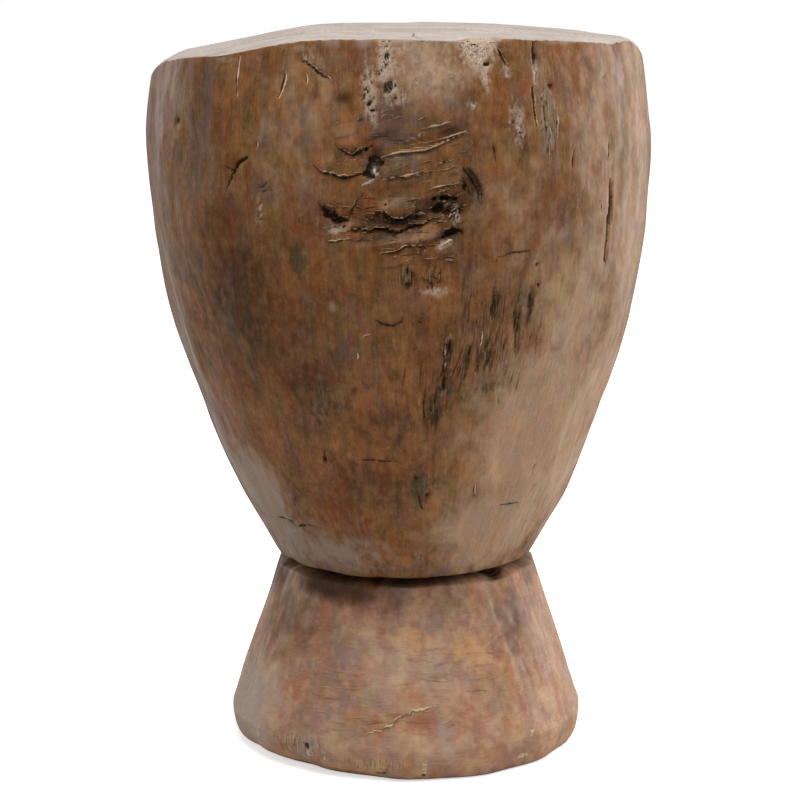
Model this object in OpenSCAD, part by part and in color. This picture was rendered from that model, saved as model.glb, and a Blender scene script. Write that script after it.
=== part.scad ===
// A hewn wooden stool: a deep, bowl-shaped seat block standing on a flared foot.
// The two blocks meet at the neck, where a stub tenon on the foot stands in a blind
// mortise in the seat block. Millimetres, +Z up, floor at Z = 0, front towards -Y.

/* [Overall] */
// Height of the flat of the seat above the floor
seat_height = 450; // [400:1:520]
// Height above the floor of the neck, where the two blocks meet
neck_height = 118; // [100:1:140]

/* [Seat block] */
// Widest diameter of the seat block
belly_d = 317; // [280:1:360]
// How far the widest place lies below the flat of the seat
belly_depth = 75; // [60:1:110]
// How far the wall draws in from the widest place up to the rim
rim_draw_in = 8.5; // [0:0.5:14]
// Diameter of the seat block at its lower end, before its lip turns in
seat_neck_d = 157; // [140:1:170]
// Exponent of the side's curve up to the widest place: a lower one is fuller
side_curve = 0.88; // [0.8:0.02:1.1]

/* [Seat surface] */
// Distance left of the middle at which the seat starts to fall away
left_fall_start = 55; // [30:1:90]
// Slope at which the left of the seat falls away, in degrees
left_fall_angle = 10.5; // [4:0.5:16]
// Distance right of the middle at which the seat starts to fall away
right_fall_start = 74; // [40:1:100]
// Slope at which the right of the seat falls away, in degrees
right_fall_angle = 4; // [2:0.5:10]
// Width of the worn corner at the left and right ends of the rim
worn_corner = 7.5; // [3:0.5:14]
// Slope of the worn corners, in degrees
worn_corner_angle = 42; // [30:1:55]

/* [Foot block] */
// Widest diameter of the foot
foot_d = 227; // [200:1:260]
// Height above the floor of the foot's widest place
foot_edge_height = 20; // [12:1:36]
// How far the lower edge draws in below the widest place
foot_edge_draw_in = 8.5; // [4:0.5:16]
// How much further the lower edge is hewn away at its front left
foot_hewn_edge = 12; // [0:1:16]
// Diameter of the foot at its upper end, before its lip turns in
foot_neck_d = 162; // [145:1:175]
// Exponent of the flare from the widest place up to the neck: a higher one is fuller
flare_curve = 1; // [0.9:0.05:1.3]

/* [Neck joint] */
// Height of the lip of each block that turns in towards the joint
lip_height = 4; // [2:0.5:8]
// How far each lip turns in, which is the depth of the dark groove
groove_depth = 8; // [4:0.5:12]
// Diameter of the stub tenon on the foot
tenon_d = 70; // [50:1:90]
// Length of the stub tenon above the joint
tenon_length = 45; // [30:1:60]
// Gap all round between the tenon and its mortise
tenon_gap = 0.3; // [0.2:0.05:0.6]
// Gap between the tenon's end and the bottom of the mortise
tenon_end_gap = 1; // [0.5:0.25:3]

/* [Hewing] */
// How far the seat block's lower end stands to the right of its middle
seat_lean = 4; // [0:0.5:8]
// How far the foot's axis stands to the right of the seat's middle
foot_offset = 5; // [0:0.5:8]
// Number of flats that the adze left round each block
flats = 14; // [10:1:18]
// Depth of the flats below a round surface
flat_depth = 1.6; // [0:0.2:3]
// Height of one row of flats, where the next row is staggered
flat_row_height = 55; // [40:1:80]
// How far the log's three-sided swell stands out of round
out_of_round = 1.5; // [0:0.25:3]

/* [Hidden] */
seat_colour = "#7a5439";
foot_colour = "#9a7862";

belly_height = seat_height - belly_depth;
tenon_r = tenon_d / 2;
mortise_r = tenon_r + tenon_gap;
mortise_depth = tenon_length + tenon_end_gap;

// The tenon's root runs this far down into the foot
tenon_root = 10;
// Waste above the seat and below the floor, which the flat cuts take away
waste = 8;
// Columns of facets for each flat, and rows of facets in each stretch of wall
columns_per_flat = 4;
lip_rows = 4;
side_rows = 22;
edge_rows = 6;
flare_rows = 7;
// Direction in which the foot's lower edge is hewn away, and how sharply the cut fades
hewn_edge_angle = 230;
hewn_edge_power = 4;
// Swells of the out-of-round log in one turn
swells = 3;
// Side of a block of waste, larger than the stool
waste_block = 2 * (belly_d + seat_height);

columns = flats * columns_per_flat;
full_turn = 360;
half_turn = 180;
quarter_turn = 90;

// Levels from a to b in a number of equal steps, without b itself
function steps(a, b, count) = [for (k = [0 : count - 1]) a + (b - a) * k / count];

// How far a lip turns in at a distance from the joint
function lip_in(distance) =
    distance < lip_height ? groove_depth * pow(1 - distance / lip_height, 2) : 0;

// Share of the way from the neck up to the widest place of the seat block
function side_share(z) = (z - neck_height) / (belly_height - neck_height);

// Radius of the seat block, a quarter sine wave from the neck to the widest place
function seat_r(z) =
    let (share = min(1, side_share(z)),
         above = max(0, z - belly_height) / belly_depth)
    seat_neck_d / 2 + (belly_d - seat_neck_d) / 2 * pow(sin(quarter_turn * share), side_curve)
    - rim_draw_in * pow(above, 2) - lip_in(z - neck_height);

// Place of the seat block's axis, which leans back to the middle in half a cosine wave
function seat_x(z) =
    seat_lean * (1 + cos(half_turn * min(1, side_share(z)))) / 2;

// How far the foot's lower edge draws in at the floor, in each direction
function edge_in(angle) =
    foot_edge_draw_in
    + foot_hewn_edge * pow(max(0, cos(angle - hewn_edge_angle)), hewn_edge_power);

// Radius of the foot: an elliptical lower edge under a flare that rises to the neck
function foot_r(angle, z) =
    let (below = max(0, 1 - max(0, z) / foot_edge_height),
         share = max(0, z - foot_edge_height) / (neck_height - foot_edge_height))
    foot_d / 2 - (foot_d - foot_neck_d) / 2 * pow(share, flare_curve)
    - edge_in(angle) * (1 - sqrt(1 - pow(below, 2))) - lip_in(neck_height - z);

// What hewing leaves of the radius at an angle and a height: staggered flats and a swell
function hewn(angle, z) =
    out_of_round * sin(swells * angle)
    - flat_depth / 2 * (1 + cos(flats * angle) * cos(half_turn * z / flat_row_height));

function column_angles() = steps(0, full_turn, columns);

function seat_ring(z) =
    [for (angle = column_angles())
        let (r = seat_r(z) + hewn(angle, z)) [seat_x(z) + r * cos(angle), r * sin(angle), z]];

function foot_ring(z) =
    [for (angle = column_angles())
        let (r = foot_r(angle, z) + hewn(angle, z)) [foot_offset + r * cos(angle), r * sin(angle), z]];

seat_top_level = seat_height + waste;
seat_levels = concat(
    steps(neck_height, neck_height + lip_height, lip_rows),
    steps(neck_height + lip_height, seat_top_level, side_rows),
    [seat_top_level]);
foot_levels = concat(
    [-waste],
    steps(0, foot_edge_height, edge_rows),
    steps(foot_edge_height, neck_height - lip_height, flare_rows),
    steps(neck_height - lip_height, neck_height, lip_rows),
    [neck_height]);

// The origin lies under the middle of the seat block's widest ring
widest = seat_ring(belly_height);
centre = [for (axis = [0, 1])
    (min([for (p = widest) p[axis]]) + max([for (p = widest) p[axis]])) / 2];

// A closed solid through rings of points, listed from the bottom to the top
module loft(rings) {
    ring_count = len(rings);
    polyhedron(
        points = [for (ring = rings) each ring],
        faces = concat(
            [[for (i = [0 : columns - 1]) i]],
            [for (k = [0 : ring_count - 2], i = [0 : columns - 1])
                let (j = (i + 1) % columns, a = k * columns, b = a + columns)
                each [[a + i, b + i, b + j], [a + i, b + j, a + j]]],
            [[for (i = [columns - 1 : -1 : 0]) (ring_count - 1) * columns + i]]));
}

// Waste above a flat cut that starts at a point and falls to the right by an angle
module waste_above(start, angle) {
    translate(start) rotate([0, angle, 0])
        translate([-waste_block / 2, -waste_block / 2, 0]) cube(waste_block);
}

// The two flat cuts on one side of the seat: its fall, and the worn corner of its rim
module side_cuts(fall_start, fall_angle) {
    corner_x = belly_d / 2 - rim_draw_in - worn_corner;
    corner_drop = (corner_x - fall_start) * tan(fall_angle);
    waste_above([fall_start, 0, seat_height], fall_angle);
    waste_above([corner_x, 0, seat_height - corner_drop], worn_corner_angle);
}

// The five flat cuts that make the seat's surface
module seat_cuts() {
    waste_above([0, 0, seat_height], 0);
    side_cuts(right_fall_start, right_fall_angle);
    mirror([1, 0, 0]) side_cuts(left_fall_start, left_fall_angle);
}

// The blind round mortise in the underside of the seat block, over the tenon
module mortise() {
    translate([foot_offset, 0, neck_height - waste])
        cylinder(r = mortise_r, h = mortise_depth + waste, $fn = 96);
}

module seat_block() {
    color(seat_colour)
    translate([-centre[0], -centre[1], 0])
    difference() {
        loft([for (z = seat_levels) seat_ring(z)]);
        seat_cuts();
        mortise();
    }
}

// The stub tenon, one with the foot, that stands in the mortise
module tenon() {
    translate([foot_offset, 0, neck_height - tenon_root])
        cylinder(r = tenon_r, h = tenon_root + tenon_length, $fn = 96);
}

module foot_block() {
    color(foot_colour)
    translate([-centre[0], -centre[1], 0])
    union() {
        difference() {
            loft([for (z = foot_levels) foot_ring(z)]);
            translate([-waste_block / 2, -waste_block / 2, -waste_block]) cube(waste_block);
        }
        tenon();
    }
}

seat_block();
foot_block();
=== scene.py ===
"""A wooden stool, hewn with the adze and worn to a dull sheen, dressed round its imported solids.

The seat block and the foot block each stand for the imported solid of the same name. Each is one
closed surface of rings, worked out from the same sizes as the solids, and then carved with the
marks of the adze, of knots, of weather and of beetles. The marks on the front lie where the
photograph shows them, and those on the back and the top are made up in the same manner.
Sizes are millimetres until a mesh is made, which is in metres.
"""

import logging
import math
from abc import ABC, abstractmethod
from collections.abc import Callable
from dataclasses import dataclass, field, replace
from enum import Enum, IntEnum

import bpy
import numpy as np
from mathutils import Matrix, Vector


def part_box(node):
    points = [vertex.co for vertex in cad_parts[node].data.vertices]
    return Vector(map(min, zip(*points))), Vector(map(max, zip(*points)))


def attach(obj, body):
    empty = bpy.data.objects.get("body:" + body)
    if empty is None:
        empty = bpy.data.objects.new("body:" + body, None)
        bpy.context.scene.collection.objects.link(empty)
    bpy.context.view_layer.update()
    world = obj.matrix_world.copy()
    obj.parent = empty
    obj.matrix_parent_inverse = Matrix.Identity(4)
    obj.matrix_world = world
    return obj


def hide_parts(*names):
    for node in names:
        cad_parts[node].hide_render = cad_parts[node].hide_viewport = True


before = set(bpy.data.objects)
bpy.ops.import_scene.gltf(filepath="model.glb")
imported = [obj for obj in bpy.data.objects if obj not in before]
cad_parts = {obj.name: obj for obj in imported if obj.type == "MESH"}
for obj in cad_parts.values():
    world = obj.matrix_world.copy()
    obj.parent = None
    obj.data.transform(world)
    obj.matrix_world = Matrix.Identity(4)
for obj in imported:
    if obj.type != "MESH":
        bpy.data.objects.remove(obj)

LOG = logging.getLogger("stool")
MM = 0.001
FULL_TURN = 2 * math.pi
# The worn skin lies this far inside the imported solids, so that it stays in their box
SKIN_INSIDE = 0.35
# Radius of the even cylinder on which the patterns of a wall are laid out
PATTERN_RADIUS = 150.0
# A line's colour is held by the vertices within this distance of it
LINE_REACH = 2.2
# Stored as a line's width where there is none, and as distances where no line is near
NO_LINE = -1.0
FAR_GAP = 1000.0
FAR_SIDE = 10.0
# Bells run out at this many times their half width
BELL_REACH = 2.4
# A flat runs out over this length beyond and before each of its ends
FLAT_END = 12.0
# Steps in which a density is summed, rows of a noise's lattice, and the height up to which the
# adze's facets are laid, in millimetres
DENSITY_STEPS = 4001
LATTICE_ROWS = 80
HEWN_HEIGHT = 480.0
# A photographed place lies further from the camera than this, and is found by so many halvings
NEAREST_WALL = 1300.0
HALVINGS = 40
# Rounds in which the rim's height is found
RIM_ROUNDS = 8
# Added where a length or a sum that may be nothing is divided by
TINY = 1e-9
# Widths of the dark line, a painted shadow, under grain that hardly stands out
FAINT = (0.02, 0.22)

Point = tuple[float, float]
Socket = bpy.types.NodeSocket


def linear(hex_colour: str) -> tuple[float, float, float, float]:
    """Turns an sRGB hex colour into linear red, green, blue and alpha.

    Args:
        hex_colour: A colour such as "#7a5439".

    Returns:
        The four linear values from 0 to 1.
    """
    shares = [int(hex_colour[i:i + 2], 16) / 255 for i in (1, 3, 5)]
    curve = [s / 12.92 if s <= 0.04045 else ((s + 0.055) / 1.055) ** 2.4 for s in shares]
    return (curve[0], curve[1], curve[2], 1.0)


def wrapped(angle: np.ndarray) -> np.ndarray:
    """Brings angles in radians to the range from minus half a turn to half a turn."""
    return (angle + math.pi) % FULL_TURN - math.pi


def eased(low: float, high: float, value: np.ndarray) -> np.ndarray:
    """Rises from 0 at low to 1 at high along the cubic 3t^2 - 2t^3."""
    share = np.clip((value - low) / (high - low), 0.0, 1.0)
    return share * share * (3 - 2 * share)


def spread(low: float, high: float, count: int,
           density: Callable[[np.ndarray], np.ndarray]) -> np.ndarray:
    """Places values so that each gap holds an even share of the summed density.

    Args:
        low: First value.
        high: Last value.
        count: Number of values, with both ends.
        density: How densely the values stand, at any value.

    Returns:
        The values in rising order.
    """
    fine = np.linspace(low, high, DENSITY_STEPS)
    weight = density((fine[1:] + fine[:-1]) / 2)
    total = np.concatenate([[0.0], np.cumsum(weight)])
    return np.interp(np.linspace(0.0, total[-1], count), total, fine)


@dataclass(frozen=True)
class PhotoCamera:
    """The photograph's camera, fitted to the stool's outline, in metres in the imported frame."""

    right: float = 0.0010
    back: float = 1.7209
    height: float = 0.5124
    pitch_deg: float = 9.73
    focal_px: float = 2758.4
    frame_px: float = 800.0
    sensor_mm: float = 36.0

    def rays(self, pixels: np.ndarray) -> tuple[np.ndarray, np.ndarray]:
        """Finds the rays on which pixels of the photograph lie.

        Args:
            pixels: Columns of x and y in the photograph.

        Returns:
            The camera's place in millimetres, and one direction for each pixel.
        """
        pitch = math.radians(self.pitch_deg)
        across = (pixels[:, 0] - self.frame_px / 2) / self.focal_px
        above = (self.frame_px / 2 - pixels[:, 1]) / self.focal_px
        ahead = np.array([0.0, math.cos(pitch), -math.sin(pitch)])
        upward = np.array([0.0, math.sin(pitch), math.cos(pitch)])
        rays = ahead + across[:, None] * np.array([1.0, 0.0, 0.0]) + above[:, None] * upward
        return np.array([self.right, -self.back, self.height]) / MM, rays

    def place(self) -> None:
        """Makes the camera and gives it to the scene."""
        data = bpy.data.cameras.new("photo_camera")
        data.sensor_width = self.sensor_mm
        data.lens = self.focal_px * self.sensor_mm / self.frame_px
        camera = bpy.data.objects.new("photo_camera", data)
        camera.location = (self.right, -self.back, self.height)
        camera.rotation_euler = (math.radians(90 - self.pitch_deg), 0.0, 0.0)
        bpy.context.scene.collection.objects.link(camera)
        bpy.context.scene.camera = camera


CAMERA = PhotoCamera()


@dataclass(frozen=True)
class WrappedNoise:
    """Smooth seeded relief on an unrolled wall, which closes on itself round the turn.

    Random values from -1 to 1 stand on a lattice round the block and up it. Between them a point
    takes the four nearest values in shares that follow the cubic 3t^2 - 2t^3 both ways.
    """

    seed: int
    cell_mm: float
    cell_rise_mm: float

    def at(self, turn: np.ndarray, height: np.ndarray) -> np.ndarray:
        """Gives the relief on the wall.

        Args:
            turn: Turns in radians.
            height: Heights in millimetres.

        Returns:
            The relief at each place, from -1 to 1.
        """
        around = max(3, round(FULL_TURN * PATTERN_RADIUS / self.cell_mm))
        values = np.random.default_rng(self.seed).uniform(-1.0, 1.0, (LATTICE_ROWS, around))
        u = (turn / FULL_TURN) % 1.0 * around
        v = height / self.cell_rise_mm
        i, j = np.floor(u).astype(int), np.floor(v).astype(int)
        a, b = eased(0.0, 1.0, u - i), eased(0.0, 1.0, v - j)
        below, above = (values[row, i % around] * (1 - a) + values[row, (i + 1) % around] * a
                        for row in (j % LATTICE_ROWS, (j + 1) % LATTICE_ROWS))
        return below * (1 - b) + above * b


@dataclass(frozen=True)
class AdzeFacets:
    """The flats of single adze strokes, each tilted a little its own way.

    Each stroke is a plane through its own centre. A point takes the planes round it in shares
    that fall as exp(-d^2 / soft^2) with its distance d from each centre, so that a stroke rules
    near its centre and gives way to the next along a soft ridge.
    """

    seed: int
    around: int
    rise_mm: float
    tilt_deg: float
    step_mm: float
    soft_mm: float
    # How far a stroke's centre strays, in cells, and its width over its height
    stray: float = 0.3
    slender: float = 0.7

    def cut(self, turn: np.ndarray, height: np.ndarray, radius: float) -> np.ndarray:
        """Works out all strokes on a wall.

        Args:
            turn: Turns in radians.
            height: Heights in millimetres.
            radius: The wall's radius in millimetres.

        Returns:
            How far they stand out at each place, in millimetres.
        """
        rng = np.random.default_rng(self.seed)
        rows = int(HEWN_HEIGHT / self.rise_mm) + 2
        total = np.zeros_like(turn)
        weights = np.zeros_like(turn)
        for row in range(rows):
            for column in range(self.around):
                shift = rng.uniform(-self.stray, self.stray, 2)
                tilt = np.tan(np.radians(rng.normal(0.0, self.tilt_deg, 2)))
                step = rng.uniform(-self.step_mm, self.step_mm)
                middle = (column + 0.5 * (row % 2) + shift[0]) / self.around * FULL_TURN
                du = wrapped(turn - middle) * radius
                dv = height - (row - 0.5 + shift[1]) * self.rise_mm
                share = np.exp(-(du ** 2 + (self.slender * dv) ** 2) / self.soft_mm ** 2)
                total += share * (step + tilt[0] * du + tilt[1] * dv)
                weights += share
        return total / (weights + TINY)


@dataclass(frozen=True)
class NeckJoint:
    """The joint at the neck, where the foot's stub tenon stands in the seat block's mortise."""

    height: float = 118.0
    lip_height: float = 4.0
    groove_depth: float = 8.0
    tenon_r: float = 35.0
    tenon_length: float = 45.0
    tenon_gap: float = 0.3
    tenon_end_gap: float = 1.0

    def lip_in(self, distance: np.ndarray) -> np.ndarray:
        """Says how far a lip turns in at a distance from the joint: a square law to nothing."""
        return self.groove_depth * np.clip(1 - distance / self.lip_height, 0.0, 1.0) ** 2


@dataclass(frozen=True)
class BlockForm:
    """The hewn log round which both blocks are shaped, with its flats and three-sided swell."""

    joint: NeckJoint = NeckJoint()
    flats: int = 14
    columns_per_flat: int = 4
    flat_depth: float = 1.6
    flat_row_height: float = 55.0
    out_of_round: float = 1.5
    swells: int = 3
    seat_lean: float = 4.0
    foot_offset: float = 5.0
    seat_height: float = 450.0
    belly_d: float = 317.0
    belly_depth: float = 75.0
    rim_draw_in: float = 8.5
    seat_neck_d: float = 157.0
    side_curve: float = 0.88

    @property
    def belly_height(self) -> float:
        """Gives the height of the seat block's widest place."""
        return self.seat_height - self.belly_depth

    def side_share(self, height: np.ndarray) -> np.ndarray:
        """Gives the share of the way from the neck up to the belly, from 0 to 1."""
        return np.clip((height - self.joint.height) / (self.belly_height - self.joint.height), 0.0, 1.0)

    def hewn(self, turn: np.ndarray, height: np.ndarray) -> np.ndarray:
        """Gives what hewing leaves of the radius: staggered flats on a swelling log."""
        stagger = np.cos(self.flats * turn) * np.cos(math.pi * height / self.flat_row_height)
        return self.out_of_round * np.sin(self.swells * turn) - self.flat_depth / 2 * (1 + stagger)

    def seat_radius(self, turn: np.ndarray, height: np.ndarray) -> np.ndarray:
        """Gives the seat block's radius: a quarter sine wave up to the belly, drawn in above it.

        Args:
            turn: Turns in radians.
            height: Heights in millimetres.

        Returns:
            The radius at each place.
        """
        above = np.maximum(0.0, height - self.belly_height) / self.belly_depth
        rise = np.sin(math.pi / 2 * self.side_share(height)) ** self.side_curve
        swell = (self.belly_d - self.seat_neck_d) / 2 * rise
        plain = self.seat_neck_d / 2 + swell - self.rim_draw_in * above ** 2
        lip = self.joint.lip_in(height - self.joint.height)
        return plain - lip + self.hewn(turn, height) - SKIN_INSIDE

    def seat_axis(self, height: np.ndarray) -> np.ndarray:
        """Gives the seat block's lean to the right, which fades in half a cosine wave."""
        return self.seat_lean * (1 + np.cos(math.pi * self.side_share(height))) / 2

    def centre(self) -> np.ndarray:
        """Finds the middle of the widest ring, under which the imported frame's origin lies.

        Returns:
            Its x and y from the seat block's own axis.
        """
        count = self.flats * self.columns_per_flat
        turn = np.arange(count) * FULL_TURN / count
        belly = np.full(count, self.belly_height)
        radius = self.seat_radius(turn, belly) + SKIN_INSIDE
        ring = np.stack([self.seat_axis(belly) + radius * np.cos(turn), radius * np.sin(turn)])
        return (ring.min(axis=1) + ring.max(axis=1)) / 2

    def radius(self, turn: np.ndarray, height: np.ndarray) -> np.ndarray:
        """Gives this block's radius at each turn and height."""
        return self.seat_radius(turn, height)

    def axis(self, height: np.ndarray) -> np.ndarray:
        """Gives how far this block's axis stands to the right at each height."""
        return self.seat_axis(height)

    def points(self, turn: np.ndarray, height: np.ndarray) -> np.ndarray:
        """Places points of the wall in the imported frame.

        Args:
            turn: Turns in radians.
            height: Heights in millimetres.

        Returns:
            One point for each place.
        """
        middle = self.centre()
        radius = self.radius(turn, height)
        x = self.axis(height) + radius * np.cos(turn) - middle[0]
        return np.stack([x, radius * np.sin(turn) - middle[1], height + 0 * turn], axis=-1)

    def cast(self, pixels: np.ndarray) -> np.ndarray:
        """Finds where pixels of the photograph lie on the wall, by halving steps along their rays.

        Args:
            pixels: Columns of x and y in the photograph.

        Returns:
            Columns of turn in radians and height in millimetres.
        """
        start, rays = CAMERA.rays(pixels)
        middle = self.centre()
        near = np.full(len(pixels), NEAREST_WALL)
        far = np.full(len(pixels), CAMERA.back / MM)
        for _ in range(HALVINGS):
            half = (near + far) / 2
            point = start + half[:, None] * rays
            x = point[:, 0] + middle[0] - self.axis(point[:, 2])
            y = point[:, 1] + middle[1]
            outside = np.hypot(x, y) > self.radius(np.arctan2(y, x), point[:, 2])
            near = np.where(outside, half, near)
            far = np.where(outside, far, half)
        return np.stack([np.arctan2(y, x), point[:, 2]], axis=1)


@dataclass(frozen=True)
class SeatForm(BlockForm):
    """The seat block's form, with its hewn top."""

    left_fall: Point = (55.0, 10.5)
    right_fall: Point = (74.0, 4.0)
    worn_corner: float = 7.5
    worn_corner_angle: float = 42.0
    blend_mm: float = 1.1
    # The waviness: its height, how far its first wave bends, and four wave lengths over 2 pi, that
    # wave's along x and of its bend along y, and the second wave's along y and along x
    wave_mm: float = 0.25
    wave_bend: float = 1.3
    wave_mms: tuple[float, ...] = (31, 47, 26, 70)

    def top(self, x: np.ndarray, y: np.ndarray) -> np.ndarray:
        """Gives the height of the seat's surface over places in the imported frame.

        The surface is the lowest of five planes, with their meeting lines rounded by the soft
        minimum -k log(sum(exp(-z / k))), and a slow waviness of sines below it.

        Args:
            x: Distances to the right.
            y: Distances to the back.

        Returns:
            The height over each place.
        """
        x = x + self.centre()[0]
        corner_x = self.belly_d / 2 - self.rim_draw_in - self.worn_corner
        corner_slope = math.tan(math.radians(self.worn_corner_angle))
        planes = [np.full_like(x, self.seat_height)]
        for sign, (start, angle) in ((-1, self.left_fall), (1, self.right_fall)):
            slope = math.tan(math.radians(angle))
            corner = self.seat_height - (corner_x - start) * slope
            planes.append(self.seat_height - (sign * x - start) * slope)
            planes.append(corner - (sign * x - corner_x) * corner_slope)
        stack = np.stack(planes)
        lowest = stack.min(axis=0)
        soft = lowest - self.blend_mm * np.log(np.exp((lowest - stack) / self.blend_mm).sum(axis=0))
        first, bend, second, slant = self.wave_mms
        waves = np.sin(x / first + self.wave_bend * np.sin(y / bend)) + np.sin(y / second + x / slant)
        return soft - self.wave_mm * (2 - waves) / 2

    def rim(self, turn: np.ndarray) -> np.ndarray:
        """Finds where the wall meets the seat's surface.

        Args:
            turn: Turns in radians.

        Returns:
            The height at each turn.
        """
        height = np.full_like(turn, self.seat_height)
        for _ in range(RIM_ROUNDS):
            place = self.points(turn, height)
            height = self.top(place[..., 0], place[..., 1])
        return height


@dataclass(frozen=True)
class FootForm(BlockForm):
    """The foot block's form: a flare with a hewn, rounded lower edge."""

    foot_d: float = 227.0
    edge_height: float = 20.0
    edge_draw_in: float = 8.5
    hewn_edge: float = 12.0
    hewn_edge_deg: float = 230.0
    hewn_edge_power: float = 4.0
    foot_neck_d: float = 162.0

    def radius(self, turn: np.ndarray, height: np.ndarray) -> np.ndarray:
        """Gives the foot's radius: an elliptical lower edge under a straight flare.

        Args:
            turn: Turns in radians.
            height: Heights in millimetres.

        Returns:
            The radius at each place.
        """
        below = np.clip(1 - height / self.edge_height, 0.0, 1.0)
        share = np.maximum(0.0, height - self.edge_height) / (self.joint.height - self.edge_height)
        towards = np.maximum(0.0, np.cos(turn - math.radians(self.hewn_edge_deg)))
        edge_in = self.edge_draw_in + self.hewn_edge * towards ** self.hewn_edge_power
        flare = self.foot_d / 2 - (self.foot_d - self.foot_neck_d) / 2 * share
        edge = edge_in * (1 - np.sqrt(1 - below ** 2))
        lip = self.joint.lip_in(self.joint.height - height)
        return flare - edge - lip + self.hewn(turn, height) - SKIN_INSIDE

    def axis(self, height: np.ndarray) -> np.ndarray:
        """Gives the foot's offset to the right, the same at each height."""
        return self.foot_offset + 0 * height


class Tone(Enum):
    """What changed the wood's colour in a patch, or the light and shade painted into it. Each is a vertex
    attribute of that name.
    """

    RED = "red_heart"
    ORANGE = "fresh_rub"
    PURPLE = "purple_bruise"
    # Grey weathering, and a painted sheen of the white surround along the edges
    GREY = "grey_weather_and_sheen"
    GREEN = "green_stain"
    # Dirt, and painted shade and shadow under ledges, in hollows and under the seat block
    DARK = "dark_dirt_and_shade"
    # Wear, and painted light where the light falls strongest
    LIGHT = "painted_light_and_wear"
    ROT = "pale_rot"
    TORN = "torn_fibre"


class Where(Enum):
    """How a mark's points are given."""

    PHOTO = "pixels of the photograph"
    WALL = "degrees round the block and millimetres up it"
    PLAN = "millimetres right of and behind the middle, seen from above"


@dataclass
class Skin:
    """The surface that marks are carved in, with one value for each vertex in each array."""

    form: BlockForm
    turn: np.ndarray
    climb: np.ndarray
    plan: np.ndarray
    on_wall: np.ndarray
    on_top: np.ndarray
    hollow: np.ndarray = field(init=False)
    cut: np.ndarray = field(init=False)
    line_gap: np.ndarray = field(init=False)
    line_side: np.ndarray = field(init=False)
    line_dark: np.ndarray = field(init=False)
    line_pale: np.ndarray = field(init=False)
    tones: dict[Tone, np.ndarray] = field(init=False)

    def __post_init__(self) -> None:
        """Starts every array empty of marks."""
        count = len(self.turn)
        self.hollow = np.zeros(count)
        self.cut = np.zeros(count)
        self.line_gap = np.full(count, FAR_GAP)
        self.line_side = np.full(count, FAR_SIDE)
        self.line_dark = np.full(count, NO_LINE)
        self.line_pale = np.full(count, NO_LINE)
        self.tones = {tone: np.zeros(count) for tone in Tone}

    def radius_at(self, turn: float, climb: float) -> float:
        """Gives the wall's radius at one place."""
        return float(self.form.radius(np.float64(turn), np.float64(climb)))

    def chart(self, points: tuple[Point, ...], where: Where,
              reach: float) -> tuple[np.ndarray, np.ndarray, np.ndarray]:
        """Unrolls the surface round a mark into a flat chart in millimetres.

        Args:
            points: The mark's points.
            where: How they are given.
            reach: How far from the points the mark may act, in millimetres.

        Returns:
            The numbers of the vertices in reach, their places in the chart, and the mark's points
            there.
        """
        given = np.array(points, dtype=float)
        if where is Where.PLAN:
            path, here, valid = given, self.plan, self.on_top
        else:
            places = self.form.cast(given) if where is Where.PHOTO else given * (math.radians(1), 1.0)
            turn, climb = places[0]
            radius = self.radius_at(turn, climb)
            rise = self.radius_at(turn, climb + 1.0) - radius
            scale = np.array([radius, math.hypot(1.0, rise)])
            path = np.stack([wrapped(places[:, 0] - turn), places[:, 1] - climb], axis=1) * scale
            here = np.stack([wrapped(self.turn - turn), self.climb - climb], axis=1) * scale
            valid = self.on_wall
        low, high = path.min(axis=0) - reach, path.max(axis=0) + reach
        inside = valid & (here > low).all(axis=1) & (here < high).all(axis=1)
        numbers = np.flatnonzero(inside)
        return numbers, here[numbers], path

    # Lays stains and painted light and shade alike
    def raise_tone(self, numbers: np.ndarray, tone: Tone, share: np.ndarray) -> None:
        """Raises a tone at the vertices to a share, where it isn't above that yet."""
        held = self.tones[tone]
        held[numbers] = np.maximum(held[numbers], share)

    def draw_line(self, numbers: np.ndarray, side: np.ndarray, dark: np.ndarray,
                  pale: np.ndarray) -> None:
        """Stores a line's colour bands at the vertices to which it is the nearest line.

        Args:
            numbers: The vertices' numbers.
            side: Signed distance from the middle of the dark band, above 0 below the line.
            dark: Half width of the dark band, below 0 where there is none.
            pale: Width of the pale edge over it, below 0 where there is none.
        """
        gap = np.abs(side) - dark
        nearer = gap < self.line_gap[numbers]
        chosen = numbers[nearer]
        held = gap[nearer] < LINE_REACH
        self.line_gap[chosen] = gap[nearer]
        self.line_side[chosen] = side[nearer]
        self.line_dark[chosen] = np.where(held, dark[nearer], NO_LINE)
        self.line_pale[chosen] = np.where(held, pale[nearer], NO_LINE)


def along_path(here: np.ndarray, path: np.ndarray) -> tuple[np.ndarray, np.ndarray]:
    """Measures points against a path of straight stretches.

    Each point is dropped on to its nearest stretch. The side is the distance to it, with the
    sign of the cross product, and the share is the length run up to there over the whole.

    Args:
        here: The points.
        path: The path's corners in order.

    Returns:
        The signed distance, above 0 on the right of the path's direction, and the share of the
        path's length from 0 to 1, which runs past both ends in the same measure.
    """
    steps = np.diff(path, axis=0)
    lengths = np.hypot(steps[:, 0], steps[:, 1]) + TINY
    best = np.full(len(here), np.inf)
    side = np.zeros(len(here))
    share = np.zeros(len(here))
    run = 0.0
    for start, step, length in zip(path[:-1], steps, lengths):
        offset = here - start
        raw = offset @ step / length ** 2
        t = np.clip(raw, 0.0, 1.0)
        gap = np.hypot(*(offset - t[:, None] * step).T)
        cross = step[1] * offset[:, 0] - step[0] * offset[:, 1]
        nearer = gap < best
        best = np.where(nearer, gap, best)
        side = np.where(nearer, np.where(cross >= 0, gap, -gap), side)
        share = np.where(nearer, (run + t * length) / lengths.sum(), share)
        run += length
    return side, share


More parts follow.
